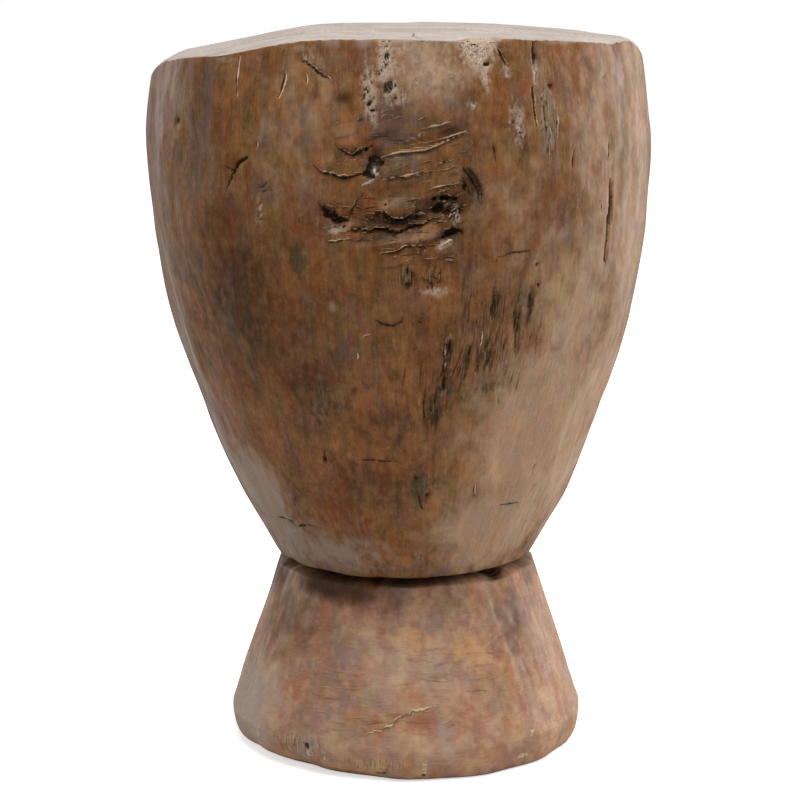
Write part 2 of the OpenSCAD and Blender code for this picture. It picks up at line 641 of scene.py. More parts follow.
def tapered(share: np.ndarray, widest: float) -> np.ndarray:
    """Swells from nothing at both ends to 1 at the widest share, as a root of a bent sine wave."""
    bend = math.log(0.5) / math.log(widest)
    return np.sqrt(np.sin(math.pi * np.clip(share, 1e-6, 1.0) ** bend).clip(0.0, 1.0))


# A line has no width this near to its path's ends, as a share of the path
PATH_END = 0.001
# The wander of torn edges: seed, cell and rise of the cell in millimetres, coarse and fine
COARSE_TEAR = WrappedNoise(71, 4.5, 5.5)
FINE_TEAR = WrappedNoise(72, 1.9, 2.3)
FINE_TEAR_SHARE = 0.6


def jagged(skin: Skin, numbers: np.ndarray, amount: float) -> np.ndarray:
    """Gives the wander of a torn edge, as relief of a few millimetres' grain times the amount."""
    turn, climb = skin.turn[numbers], skin.climb[numbers]
    return amount * (COARSE_TEAR.at(turn, climb) + FINE_TEAR_SHARE * FINE_TEAR.at(turn, climb))


def follow(mark: "Split | Ledge", skin: Skin, reach: float) -> tuple[np.ndarray, ...]:
    """Measures the skin along a mark's path, as ragged and as tapered as the mark says.

    Args:
        mark: A split or a ledge.
        skin: The surface.
        reach: How far from the path the mark may act, in millimetres.

    Returns:
        The numbers of the vertices in reach, their distance from the path, above 0 below it, their
        share of its length, and the swell, from 0 at the path's ends to 1 where it is widest.
    """
    numbers, here, path = skin.chart(mark.path, mark.where, reach)
    side, share = along_path(here, path)
    return numbers, side + jagged(skin, numbers, mark.ragged), share, tapered(share, mark.widest)


def within_ends(share: np.ndarray, width: np.ndarray) -> np.ndarray:
    """Keeps a line's width between the ends of its path, where it has one."""
    return np.where((share > PATH_END) & (share < 1 - PATH_END) & (width > 0), width, NO_LINE)


# A split acts this far beyond its line, ends in shoulders of this width, and darkens this far out
SPLIT_REACH = 5.0
SPLIT_SHOULDER = 0.5
SPLIT_HALO = 1.4
# A ledge acts over so many of its own reaches and millimetres more, drops between these distances
# from its path, and its lip rises over the last of these millimetres above it
LEDGE_REACH = (3.2, 3.0)
LEDGE_STEP = (-0.25, 0.45)
LEDGE_LIP = 1.8
# Below a ledge's path the undercut and the shade begin after these millimetres, and the shade
# runs out over this share of the ledge's reach and millimetres more
UNDERCUT_START = 0.4
SHADE_START = 0.5
SHADE_REACH = (0.6, 0.6)
# A pit acts over so many half widths, its walls stand between these, the tear of its edge has this
# share, and one vertex in it is at least this share of its depth down
PIT_REACH = 2.2
PIT_WALL = (0.6, 1.15)
PIT_TEAR = 0.5
PIT_LEAST = 0.8
# Height over width and share of the depth of single pits in rot, and how near its edge they lie
ROT_PIT_TALL = (0.9, 1.8)
ROT_PIT_DEEP = (0.6, 1.2)
ROT_EDGE = 0.95
# Torn grain: how far single splits tilt, in degrees, their depths, raggedness and widest places
TEAR_TILT = 4.0
TEAR_DEEP = (0.6, 1.3)
TEAR_RAGGED = 0.25
TEAR_WIDEST = (0.35, 0.65)
# Splinters: how far single lips tilt, in degrees, how far their middles bend, as a share of their
# half length and in millimetres, how many have a pale edge, and how wide that is
LIP_TILT = 5.0
LIP_BEND = (0.3, 0.8)
LIP_PALE_SHARE = 0.6
LIP_PALE = (0.4, 1.2)
# Reach, lip, shade, raggedness and widest places of the ledges that make splinters
LIP_REACH = 1.6
LIP_HIGH = 0.25
LIP_SHADE = 0.3
LIP_RAGGED = 0.3
LIP_WIDEST = (0.3, 0.7)


@dataclass(frozen=True)
class Mark(ABC):
    """Anything that is carved in a block's surface or laid on it."""

    where: Where = field(default=Where.PHOTO, kw_only=True)

    @abstractmethod
    def carve(self, skin: Skin) -> None:
        """Carves the mark.

        Args:
            skin: The surface, whose arrays take up the mark.
        """


@dataclass(frozen=True)
class Split(Mark):
    """A check or crack: a tapered groove along a path, dark inside, at times with a pale edge."""

    path: tuple[Point, ...]
    wide: float
    deep: float
    # Width of the pale edge over the line, 0 for none
    pale: float = 0.0
    ragged: float = 0.35
    widest: float = 0.5
    halo: float = 0.3

    def carve(self, skin: Skin) -> None:
        """Cuts the groove, with sides that fall as 1 - (distance / half width)^2, and darkens them with
        grime and painted shade.

        Args:
            skin: The surface, whose cuts, tones and lines take up the split.
        """
        numbers, side, share, swell = follow(self, skin, self.wide + SPLIT_REACH)
        half = self.wide / 2 * swell
        groove = self.deep * swell * np.clip(1 - (side / (half + SPLIT_SHOULDER)) ** 2, 0.0, 1.0)
        skin.cut[numbers] = np.maximum(skin.cut[numbers], groove)
        halo = self.halo * swell * np.exp(-(side / (half + SPLIT_HALO)) ** 2)
        skin.raise_tone(numbers, Tone.DARK, halo)
        skin.draw_line(numbers, side, within_ends(share, half), within_ends(share, self.pale * swell))


@dataclass(frozen=True)
class Ledge(Mark):
    """A torn lip of wood: it stands proud along its path, with an undercut below it that runs out in painted
    shade.
    """

    path: tuple[Point, ...]
    drop: float
    reach: float
    lip: float
    # Width of the dark line under the lip, a painted shadow with grime
    dark: float
    # Width of the pale edge over the line, part pale wood and part painted highlight, 0 for none
    pale: float
    shade: float = 0.5
    ragged: float = 0.5
    widest: float = 0.5

    def carve(self, skin: Skin) -> None:
        """Drops the surface at the path, lets it come back as exp(-distance / reach), and paints shade under
        it.

        Args:
            skin: The surface, whose hollows, painted shade and lines take up the ledge.
        """
        numbers, side, share, swell = follow(self, skin, LEDGE_REACH[0] * self.reach + LEDGE_REACH[1])
        step = eased(*LEDGE_STEP, side)
        undercut = self.drop * step * np.exp(-np.maximum(0.0, side - UNDERCUT_START) / self.reach)
        rise = self.lip * (1 - step) * np.exp(np.minimum(0.0, side) / LEDGE_LIP)
        skin.hollow[numbers] += swell * (undercut - rise)
        fade = SHADE_REACH[0] * self.reach + SHADE_REACH[1]
        stained = np.exp(-np.maximum(0.0, side - SHADE_START) / fade) * step
        skin.raise_tone(numbers, Tone.DARK, self.shade * swell * stained)
        half = self.dark / 2 * swell
        skin.draw_line(numbers, side - half, within_ends(share, half), within_ends(share, self.pale * swell))


@dataclass(frozen=True)
class Spot(Mark):
    """A round or long place on a block, turned by a lean in degrees from upright."""

    at: Point
    half: Point
    lean: float

    def measure(self, skin: Skin, reach: float) -> tuple[np.ndarray, np.ndarray]:
        """Measures the skin round the spot.

        Args:
            skin: The surface.
            reach: How far out the spot may act, in half widths.

        Returns:
            The numbers of the vertices in reach, and their distance, which is 1 on the spot's edge.
        """
        numbers, here, path = skin.chart((self.at,), self.where, reach * max(self.half))
        lean = math.radians(self.lean)
        offset = here - path[0]
        across = offset[:, 0] * math.cos(lean) - offset[:, 1] * math.sin(lean)
        upward = offset[:, 0] * math.sin(lean) + offset[:, 1] * math.cos(lean)
        return numbers, np.hypot(across / self.half[0], upward / self.half[1])

    def scatter(self, skin: Skin, rng: np.random.Generator, count: int, edge: float = 1.0) -> list[Point]:
        """Picks places within the spot.

        Args:
            skin: The surface.
            rng: What the places are drawn from.
            count: How many.
            edge: How near the spot's edge they may lie, as a share of the way out to it.

        Returns:
            Turns in radians and heights in millimetres.
        """
        numbers, away = self.measure(skin, 1.0)
        within = numbers[away < edge]
        chosen = rng.choice(within, count) if len(within) else ()
        return [(float(skin.turn[number]), float(skin.climb[number])) for number in chosen]


@dataclass(frozen=True)
class Pit(Spot):
    """A beetle's hole or a deep pit with steep sides, dark inside."""

    deep: float

    def carve(self, skin: Skin) -> None:
        """Sinks the pit, full deep to six tenths of its radius, and makes sure of one vertex in it.

        Args:
            skin: The surface, whose cuts take up the pit.
        """
        numbers, away = self.measure(skin, PIT_REACH)
        if not len(numbers):
            return
        away = away * (1 + PIT_TEAR * jagged(skin, numbers, 1.0))
        sunk = self.deep * (1 - eased(*PIT_WALL, away))
        nearest = int(np.argmin(away))
        sunk[nearest] = max(sunk[nearest], PIT_LEAST * self.deep)
        skin.cut[numbers] = np.maximum(skin.cut[numbers], sunk)


@dataclass(frozen=True)
class Dish(Spot):
    """A shallow hollow or, with a negative depth, a low swelling."""

    deep: float

    def carve(self, skin: Skin) -> None:
        """Sinks the hollow as a bell, exp(-distance^2)."""
        numbers, away = self.measure(skin, BELL_REACH)
        skin.hollow[numbers] += self.deep * np.exp(-away ** 2)


@dataclass(frozen=True)
class Patch(Spot):
    """A patch of another colour, whose edge the finish breaks up."""

    share: float
    tone: Tone

    def carve(self, skin: Skin) -> None:
        """Lays the patch down as a bell, exp(-distance^2), and leaves the shape alone."""
        numbers, away = self.measure(skin, BELL_REACH)
        skin.raise_tone(numbers, self.tone, self.share * np.exp(-away ** 2))


@dataclass(frozen=True)
class Pitting(Spot):
    """Rotten wood: a patch of pale wood that is full of small pits of seeded sizes and places."""

    count: int
    size: Point
    deep: float
    rot: float
    seed: int

    def carve(self, skin: Skin) -> None:
        """Scatters the pits evenly over the spot and lays a patch of pale rot under them.

        Args:
            skin: The surface, which takes up the pits and the patch.
        """
        if self.rot > 0:
            Patch(self.at, self.half, self.lean, self.rot, Tone.ROT, where=self.where).carve(skin)
        rng = np.random.default_rng(self.seed)
        for turn, climb in self.scatter(skin, rng, self.count, ROT_EDGE):
            radius = rng.uniform(*self.size)
            half = (radius, radius * rng.uniform(*ROT_PIT_TALL))
            deep = self.deep * rng.uniform(*ROT_PIT_DEEP)
            Pit((math.degrees(turn), climb), half, 0.0, deep, where=Where.WALL).carve(skin)


@dataclass(frozen=True)
class TornGrain(Spot):
    """Fibres torn out by a blunt edge: many short upright splits, side by side, in a spot."""

    count: int
    wide: Point
    long: Point
    deep: float
    seed: int
    pale: float = 0.0
    halo: float = 0.5
    fibres: float = 0.6
    pale_share: float = 0.3

    def carve(self, skin: Skin) -> None:
        """Draws the splits from seeded middles, all with the spot's lean give or take a little.

        Args:
            skin: The surface, which takes up the splits and a patch of torn fibres.
        """
        Patch(self.at, self.half, self.lean, self.fibres, Tone.TORN, where=self.where).carve(skin)
        rng = np.random.default_rng(self.seed)
        for turn, climb in self.scatter(skin, rng, self.count):
            half = rng.uniform(*self.long) / 2
            lean = math.radians(self.lean + rng.normal(0.0, TEAR_TILT))
            shift = math.degrees(half * math.tan(lean) / skin.radius_at(turn, climb))
            top = (math.degrees(turn) + shift, climb + half)
            foot = (math.degrees(turn) - shift, climb - half)
            wide = rng.uniform(*self.wide)
            pale = self.pale if rng.uniform() < self.pale_share else 0.0
            Split((top, foot), wide, self.deep * rng.uniform(*TEAR_DEEP), pale, TEAR_RAGGED,
                  rng.uniform(*TEAR_WIDEST), self.halo, where=Where.WALL).carve(skin)


@dataclass(frozen=True)
class Splinters(Spot):
    """Wood torn across the grain: fine lips of fibre, side by side in an upright spot.

    The lean is the lips' own, in degrees by which they rise to the right.
    """

    count: int
    long: Point
    drop: Point
    pale: float
    seed: int
    dark: Point = (0.1, 0.7)

    def carve(self, skin: Skin) -> None:
        """Lays short ledges from seeded middles, each bent a little at its middle.

        Args:
            skin: The surface, which takes up the ledges.
        """
        rng = np.random.default_rng(self.seed)
        upright = Dish(self.at, self.half, 0.0, 0.0, where=self.where)
        for turn, climb in upright.scatter(skin, rng, self.count):
            half = rng.uniform(*self.long) / 2
            tilt = math.radians(self.lean + rng.normal(0.0, LIP_TILT))
            across = math.degrees(half * math.cos(tilt) / skin.radius_at(turn, climb))
            middle, upward = math.degrees(turn), half * math.sin(tilt)
            along, aside = LIP_BEND
            bend = (middle + rng.uniform(-along, along) * across, climb + rng.uniform(-aside, aside))
            path = ((middle - across, climb - upward), bend, (middle + across, climb + upward))
            drop = rng.uniform(*self.drop)
            pale = self.pale * rng.uniform(*LIP_PALE) if rng.uniform() < LIP_PALE_SHARE else 0.0
            Ledge(path, drop, LIP_REACH, LIP_HIGH, rng.uniform(*self.dark), pale, LIP_SHADE, LIP_RAGGED,
                  rng.uniform(*LIP_WIDEST), where=Where.WALL).carve(skin)


@dataclass(frozen=True)
class Flat(Mark):
    """A long flat that the adze left down the wall, with a crisp arris on each side.

    The path gives turn in degrees and height in millimetres, from the bottom to the top.
    """

    path: tuple[Point, ...]
    half_turn: float
    share: float

    def carve(self, skin: Skin) -> None:
        """Cuts the round wall back to its chord: radius x (1 - cos(half) / cos(away)).

        Args:
            skin: The surface, whose hollows take up the flat.
        """
        turns, heights = np.array(self.path).T
        away = wrapped(skin.turn - np.interp(skin.climb, heights, np.radians(turns)))
        ends = (eased(-FLAT_END, FLAT_END, skin.climb - heights[0])
                * eased(-FLAT_END, FLAT_END, heights[-1] - skin.climb))
        half = math.radians(self.half_turn)
        radius = skin.form.radius(skin.turn, skin.climb)
        chord = radius * (1 - math.cos(half) / np.cos(np.clip(away, -half, half)))
        inside = (np.abs(away) < half) & skin.on_wall
        skin.hollow[inside] += (self.share * ends * chord)[inside]


@dataclass(frozen=True)
class Nodes:
    """The nodes of one material or world, which start empty."""

    owner: bpy.types.Material | bpy.types.World

    def __post_init__(self) -> None:
        """Clears what a new material or world starts with."""
        self.owner.use_nodes = True
        self.owner.node_tree.nodes.clear()

    def add(self, kind: str, inputs: dict[str | int, object] | None = None, out: str | int = 0,
            **settings: object) -> Socket | None:
        """Adds one node with its settings, and links or sets its inputs.

        Args:
            kind: The node's type, less the ShaderNode at its start.
            inputs: For each socket, by name or number, a value or the output socket to link.
            out: The output that is wanted, by name or number.
            settings: The node's own properties.

        Returns:
            The output's socket, or None from a node that has no outputs.
        """
        tree = self.owner.node_tree
        node = tree.nodes.new("ShaderNode" + kind)
        for name, value in settings.items():
            setattr(node, name, value)
        for name, value in (inputs or {}).items():
            if isinstance(value, Socket):
                tree.links.new(value, node.inputs[name])
            else:
                node.inputs[name].default_value = value
        return node.outputs[out] if len(node.outputs) else None


class Run(Enum):
    """Which way a pattern's long side runs on a block."""

    UPRIGHT = "up and down"
    ROUND = "round the block"
    SOLID = "through the log, with no long side"


class Blend(Enum):
    """How a layer's colour joins what lies under it."""

    COVER = "MIX"
    DARKEN = "MULTIPLY"
    # Lightens, for the layers of wear and painted light
    BLEACH = "SCREEN"


class Pattern(IntEnum):
    """The number of a pattern, or of the first in a run, which shifts it so that no two are alike."""

    LAYERS = 1
    ROUGHNESS = 40
    LINE_WANDER = 43
    PORES = 44
    CRUMBS = 45
    DARK_WIDTH = 46
    PALE_WIDTH = 47
    TOP_EDGE = 51
    TOP_LAYERS = 60
    RELIEFS = 80


@dataclass(frozen=True)
class Layer:
    """A colour that lies over the ones before it, in patches of a real size.

    Noise of that size is raised by the tone's attribute, where the layer follows a tone, and
    the colour shows where the sum passes the level, over a soft edge.
    """

    colour: str
    wide_mm: float
    long_mm: float
    level: float
    soft: float
    share: float
    tone: Tone | None = None
    # How strongly the noise breaks up the tone's edge
    breaks: float = 3.0
    blend: Blend = Blend.COVER
    run: Run = Run.SOLID


def layers(run: Run, *rows: tuple) -> tuple[Layer, ...]:
    """Makes layers that run one way from rows of a Layer's values."""
    return tuple(Layer(*row, run=run) for row in rows)


@dataclass(frozen=True)
class Relief:
    """One grain size of the fine relief, in millimetres."""

    wide_mm: float
    long_mm: float
    high_mm: float
    run: Run = Run.UPRIGHT


# A pattern is shifted by these grains times its number
PATTERN_SHIFT = (7.3, 3.1, 5.7)


def between(ends: Point, most: float = 1.0) -> dict[str, float]:
    """Gives a mapping's inputs: the two ends of what comes in, and the most that comes out."""
    return {"From Min": ends[0], "From Max": ends[1], "To Max": most}


@dataclass(frozen=True)
class HewnHardwood:
    """Oiled tropical hardwood, hewn green with an adze, then worn by hands and seats for years.

    To the eye it is a dull satin brown with a soft upright figure. Bare and broken places are
    pale and rough, and grime and painted shade darken every split.
    """

    name: str
    base: str
    layers: tuple[Layer, ...]
    reliefs: tuple[Relief, ...]
    # Broken, unstained wood at the lip of a tear, with a painted highlight along it
    pale_wood_and_highlight: str
    # Loose crumbs and fibre ends in rotten wood
    crumb: str
    # Dirt and painted shade in a split
    split_dirt_and_shade: str
    roughness: float = 0.5
    roughness_swing: float = 0.14
    # Grain of the roughness in millimetres, and the values of its noise between which it swings
    roughness_grain: Point = (9.0, 30.0)
    roughness_noise: Point = (0.3, 0.7)
    dirt_roughness: float = 0.9
    # Depths of a cut in millimetres between which grime and painted shade darken it
    dirt_and_shade_depth: Point = (0.5, 1.9)
    # The most that pale edges, with their painted highlight, and grime with painted shade cover of the wood
    pale_most: float = 0.85
    dirt_and_shade_most: float = 0.82
    # A tone's colour is full where the tone reaches one part in so many
    tone_gain: float = 4.0
    # Old oil and wear leave less sheen than a film of varnish
    sheen: float = 0.1
    # How far the noise carries a line to and fro, and how softly its two bands end, in millimetres
    line_wander: float = 0.2
    line_soft: float = 0.36
    edge_soft: float = 0.3
    # Grain of that wander, and grain and least share of the uneven widths of lines and pale edges,
    # with the values of their noise between which the widths swing
    wander_grain: Point = (1.6, 1.6)
    dark_uneven: Point = (3.4, 0.25)
    pale_uneven: Point = (7.0, 0.5)
    width_noise: Point = (0.36, 0.64)
    # Grain of the crumbs in millimetres, the values of their noise between which one shows, how
    # rotten the wood is between none and all of them, and the most that they cover
    crumb_grain: Point = (0.9, 1.1)
    crumb_noise: Point = (0.5, 0.66)
    crumb_rot: Point = (0.2, 1.0)
    crumb_most: float = 0.8
    # The same for the pores, whose radius and soft edge are shares of a grain
    pore_grain: Point = (1.5, 2.0)
    pore_rot: Point = (0.35, 1.0)
    pore_radius: float = 0.27
    pore_soft: float = 0.06
    # How deep a split looks in the fine relief, in millimetres
    split_relief: float = -0.6
    top_layers: tuple[Layer, ...] = ()
    top_base: str = "#b0a69f"
    top_roughness: float = 0.72
    ring_dark: str = "#7d6e63"
    # A wave of this scale has growth rings about 4.5 mm apart, from 2 pi / (20 x scale) metres
    ring_scale: float = 70.0
    # How far noise bends the rings, on what scale, and how far up a wave its dark part starts, with
    # the most that it covers
    ring_bend: float = 11.0
    ring_bend_scale: float = 0.25
    ring_wave: Point = (0.5, 1.0)
    ring_most: float = 0.24
    # Grain of the top's ragged edge, the swing and the shift of its noise, how far rot drives it
    # back, and the stretch over which it fades, all in millimetres
    top_edge_grain: Point = (5.0, 5.0)
    top_edge_wander: Point = (5.0, -2.9)
    rot_retreat: float = -30.0
    top_edge_fade: Point = (-0.5, 0.4)

    def coordinates(self, nodes: Nodes, run: Run, wide: float, long: float, number: int) -> Socket:
        """Adds the place of each point, measured in grains of that size.

        Args:
            nodes: The material's nodes.
            run: Which way the grains run.
            wide: A grain's width in millimetres.
            long: A grain's length in millimetres.
            number: The pattern's number, which shifts it.

        Returns:
            The vector socket.
        """
        if run is Run.SOLID:
            source = nodes.add("TexCoord", out="Object")
            scale = (1 / (wide * MM), 1 / (wide * MM), 1 / (long * MM))
        else:
            source = nodes.add("Attribute", out="Vector", attribute_name="wall_mm")
            flat, tall = (wide, long) if run is Run.UPRIGHT else (long, wide)
            scale = (1 / flat, 1 / flat, 1 / tall)
        shift = tuple(step * number for step in PATTERN_SHIFT)
        return nodes.add("Mapping", {"Vector": source, "Location": shift, "Scale": scale})

    def noise(self, nodes: Nodes, run: Run, wide: float, long: float, number: int,
              detail: float = 2.0) -> Socket:
        """Adds noise of a grain size, from 0 to 1."""
        place = self.coordinates(nodes, run, wide, long, number)
        return nodes.add("TexNoise", {"Vector": place, "Scale": 1.0, "Detail": detail, "Roughness": 0.5})

    def layered(self, nodes: Nodes, base: str, over: tuple[Layer, ...], first: int) -> Socket:
        """Lays colours over a base colour.

        Args:
            nodes: The material's nodes.
            base: The colour under all.
            over: The colours over it, in order.
            first: Number of the first layer's pattern.

        Returns:
            The colour socket.
        """
        colour: object = linear(base)
        for number, layer in enumerate(over, first):
            value = self.noise(nodes, layer.run, layer.wide_mm, layer.long_mm, number)
            if layer.tone:
                tone = nodes.add("Attribute", out="Fac", attribute_name=layer.tone.value)
                centred = nodes.add("Math", {0: value, 1: layer.breaks, 2: -0.5 * layer.breaks},
                                    operation="MULTIPLY_ADD")
                value = nodes.add("Math", {0: tone, 1: centred})
            ends = (layer.level - layer.soft, layer.level + layer.soft)
            shown = nodes.add("MapRange", {"Value": value, **between(ends, layer.share)},
                              interpolation_type="SMOOTHSTEP")
            if layer.tone:
                faded = nodes.add("Math", {0: tone, 1: self.tone_gain}, operation="MULTIPLY", use_clamp=True)
                shown = nodes.add("Math", {0: shown, 1: faded}, operation="MULTIPLY")
            colour = nodes.add("Mix", {0: shown, 6: colour, 7: linear(layer.colour)}, 2,
                               data_type="RGBA", blend_type=layer.blend.value)
        return colour

    def band(self, nodes: Nodes, distance: Socket, half: Socket, soft: float) -> Socket:
        """Adds a mask that is 1 well inside a line, 0 outside it, and fainter where the line is thin."""
        away = nodes.add("Math", {0: distance}, operation="ABSOLUTE")
        left = nodes.add("Math", {0: half, 1: away}, operation="SUBTRACT")
        return nodes.add("MapRange", {"Value": left, "From Min": -0.5 * soft, "From Max": 1.5 * soft})

    def build(self) -> bpy.types.Material:
        """Builds the material from its base colour up.

        Returns:
            The material.
        """
        material = bpy.data.materials.new(self.name)
        nodes = Nodes(material)
        colour = self.layered(nodes, self.base, self.layers, Pattern.LAYERS)
        roughness = nodes.add("MapRange", {
            "Value": self.noise(nodes, Run.UPRIGHT, *self.roughness_grain, Pattern.ROUGHNESS),
            **between(self.roughness_noise, self.roughness + self.roughness_swing),
            "To Min": self.roughness - self.roughness_swing})
        if self.top_layers:
            colour, roughness = self.bleach_top(nodes, colour, roughness)
        in_line, on_edge = self.lines(nodes)
        rot = nodes.add("Attribute", out="Fac", attribute_name=Tone.ROT.value)
        cut = nodes.add("Attribute", out="Fac", attribute_name="cut_mm")
        # Deep cuts, dark lines and pores darken: grime and painted shade
        dirt_and_shade = nodes.add("MapRange", {"Value": cut, **between(self.dirt_and_shade_depth)},
                         interpolation_type="SMOOTHSTEP")
        for mask in (in_line, self.pores(nodes, rot)):
            dirt_and_shade = nodes.add("Math", {0: dirt_and_shade, 1: mask}, operation="MAXIMUM")
        crumbs = nodes.add("MapRange", {
            "Value": self.noise(nodes, Run.SOLID, *self.crumb_grain, Pattern.CRUMBS, 1.0),
            **between(self.crumb_noise)})
        crumbly = nodes.add("MapRange", {"Value": rot, **between(self.crumb_rot, self.crumb_most)})
        for mask, most, over in ((on_edge, self.pale_most, self.pale_wood_and_highlight),
                                 (dirt_and_shade, self.dirt_and_shade_most, self.split_dirt_and_shade), (crumbs, crumbly, self.crumb)):
            share = nodes.add("Math", {0: mask, 1: most}, operation="MULTIPLY")
            colour = nodes.add("Mix", {0: share, 6: colour, 7: linear(over)}, 2, data_type="RGBA")
        roughness = nodes.add("Mix", {0: dirt_and_shade, 2: roughness, 3: self.dirt_roughness})
        shader = nodes.add("BsdfPrincipled", {
            "Base Color": colour, "Roughness": roughness, "Normal": self.relief(nodes, dirt_and_shade), "IOR": 1.5,
            "Specular IOR Level": self.sheen})
        nodes.add("OutputMaterial", {"Surface": shader})
        return material

    def lines(self, nodes: Nodes) -> tuple[Socket, Socket]:
        """Adds the masks of the dark band in each line and of the pale edge over it.

        Args:
            nodes: The material's nodes.

        Returns:
            The dark band's mask and the pale edge's.
        """
        wander = nodes.add("Math", {
            0: self.noise(nodes, Run.SOLID, *self.wander_grain, Pattern.LINE_WANDER),
            1: 2 * self.line_wander, 2: -self.line_wander}, operation="MULTIPLY_ADD")
        side = nodes.add("Attribute", out="Fac", attribute_name="line_side")
        side = nodes.add("Math", {0: side, 1: wander})
        dark = self.uneven(nodes, "line_dark", *self.dark_uneven, Pattern.DARK_WIDTH)
        pale = self.uneven(nodes, "line_pale", *self.pale_uneven, Pattern.PALE_WIDTH)
        half_pale = nodes.add("Math", {0: pale, 1: 0.5}, operation="MULTIPLY")
        edge = nodes.add("Math", {0: nodes.add("Math", {0: side, 1: dark}), 1: half_pale})
        return (self.band(nodes, side, dark, self.line_soft),
                self.band(nodes, edge, half_pale, self.edge_soft))

    def uneven(self, nodes: Nodes, name: str, grain: float, least: float, number: int) -> Socket:
        """Adds a line's width, which noise varies along it round its own mean.

        Args:
            nodes: The material's nodes.
            name: The attribute that holds the width.
            grain: The noise's grain size in millimetres.
            least: The least share of the width.
            number: The noise's pattern number.

        Returns:
            The width's socket.
        """
        share = nodes.add("MapRange", {
            "Value": self.noise(nodes, Run.SOLID, grain, grain, number),
            **between(self.width_noise, 2 - least), "To Min": least})
        width = nodes.add("Attribute", out="Fac", attribute_name=name)
        return nodes.add("Math", {0: width, 1: share}, operation="MULTIPLY")

    def pores(self, nodes: Nodes, rot: Socket) -> Socket:
        """Adds beetle pores in rotten wood, 0.5 to 1 mm across and about 1.7 mm apart.

        Args:
            nodes: The material's nodes.
            rot: How rotten the wood is.

        Returns:
            The pores' mask.
        """
        place = self.coordinates(nodes, Run.SOLID, *self.pore_grain, Pattern.PORES)
        away = nodes.add("TexVoronoi", {"Vector": place, "Scale": 1.0, "Randomness": 1.0}, "Distance")
        reach = nodes.add("MapRange", {"Value": rot, **between(self.pore_rot, self.pore_radius)})
        return self.band(nodes, away, reach, self.pore_soft)

    def bleach_top(self, nodes: Nodes, colour: Socket, roughness: Socket) -> tuple[Socket, Socket]:
        """Bleaches the end grain of the top, up to a ragged line on the rim, but for its rot.

        Args:
            nodes: The material's nodes.
            colour: The wall's colour.
            roughness: The wall's roughness.

        Returns:
            The colour and the roughness of the wall and the top.
        """
        swing, shift = self.top_edge_wander
        edge = nodes.add("Math", {
            0: self.noise(nodes, Run.SOLID, *self.top_edge_grain, Pattern.TOP_EDGE), 1: swing, 2: shift},
            operation="MULTIPLY_ADD")
        rot = nodes.add("Attribute", out="Fac", attribute_name=Tone.ROT.value)
        edge = nodes.add("Math", {0: rot, 1: self.rot_retreat, 2: edge}, operation="MULTIPLY_ADD")
        over_rim = nodes.add("Attribute", out="Fac", attribute_name="over_rim")
        edge = nodes.add("Math", {0: over_rim, 1: edge})
        on_top = nodes.add("MapRange", {"Value": edge, **between(self.top_edge_fade)},
                           interpolation_type="SMOOTHSTEP")
        top = self.layered(nodes, self.top_base, self.top_layers, Pattern.TOP_LAYERS)
        rings = nodes.add("TexWave", {
            "Vector": nodes.add("TexCoord", out="Object"), "Scale": self.ring_scale,
            "Distortion": self.ring_bend, "Detail": 2.0, "Detail Scale": self.ring_bend_scale},
            "Fac", wave_type="RINGS", rings_direction="Z")
        rings = nodes.add("MapRange", {"Value": rings, **between(self.ring_wave, self.ring_most)})
        top = nodes.add("Mix", {0: rings, 6: top, 7: linear(self.ring_dark)}, 2, data_type="RGBA")
        return (nodes.add("Mix", {0: on_top, 6: colour, 7: top}, 2, data_type="RGBA"),
                nodes.add("Mix", {0: on_top, 2: roughness, 3: self.top_roughness}))

    def relief(self, nodes: Nodes, dirt_and_shade: Socket) -> Socket:
        """Adds the fine relief of all grain sizes and of the splits.

        Args:
            nodes: The material's nodes.
            dirt_and_shade: The mask of splits, pits and pores.

        Returns:
            The normal socket.
        """
        height: object = 0.0
        steps = [(self.noise(nodes, grain.run, grain.wide_mm, grain.long_mm, number), grain.high_mm)
                 for number, grain in enumerate(self.reliefs, Pattern.RELIEFS)]
        for mask, high in (*steps, (dirt_and_shade, self.split_relief)):
            height = nodes.add("Math", {0: mask, 1: high, 2: height}, operation="MULTIPLY_ADD")
        return nodes.add("Bump", {"Height": height, "Distance": MM, "Strength": 1.0})


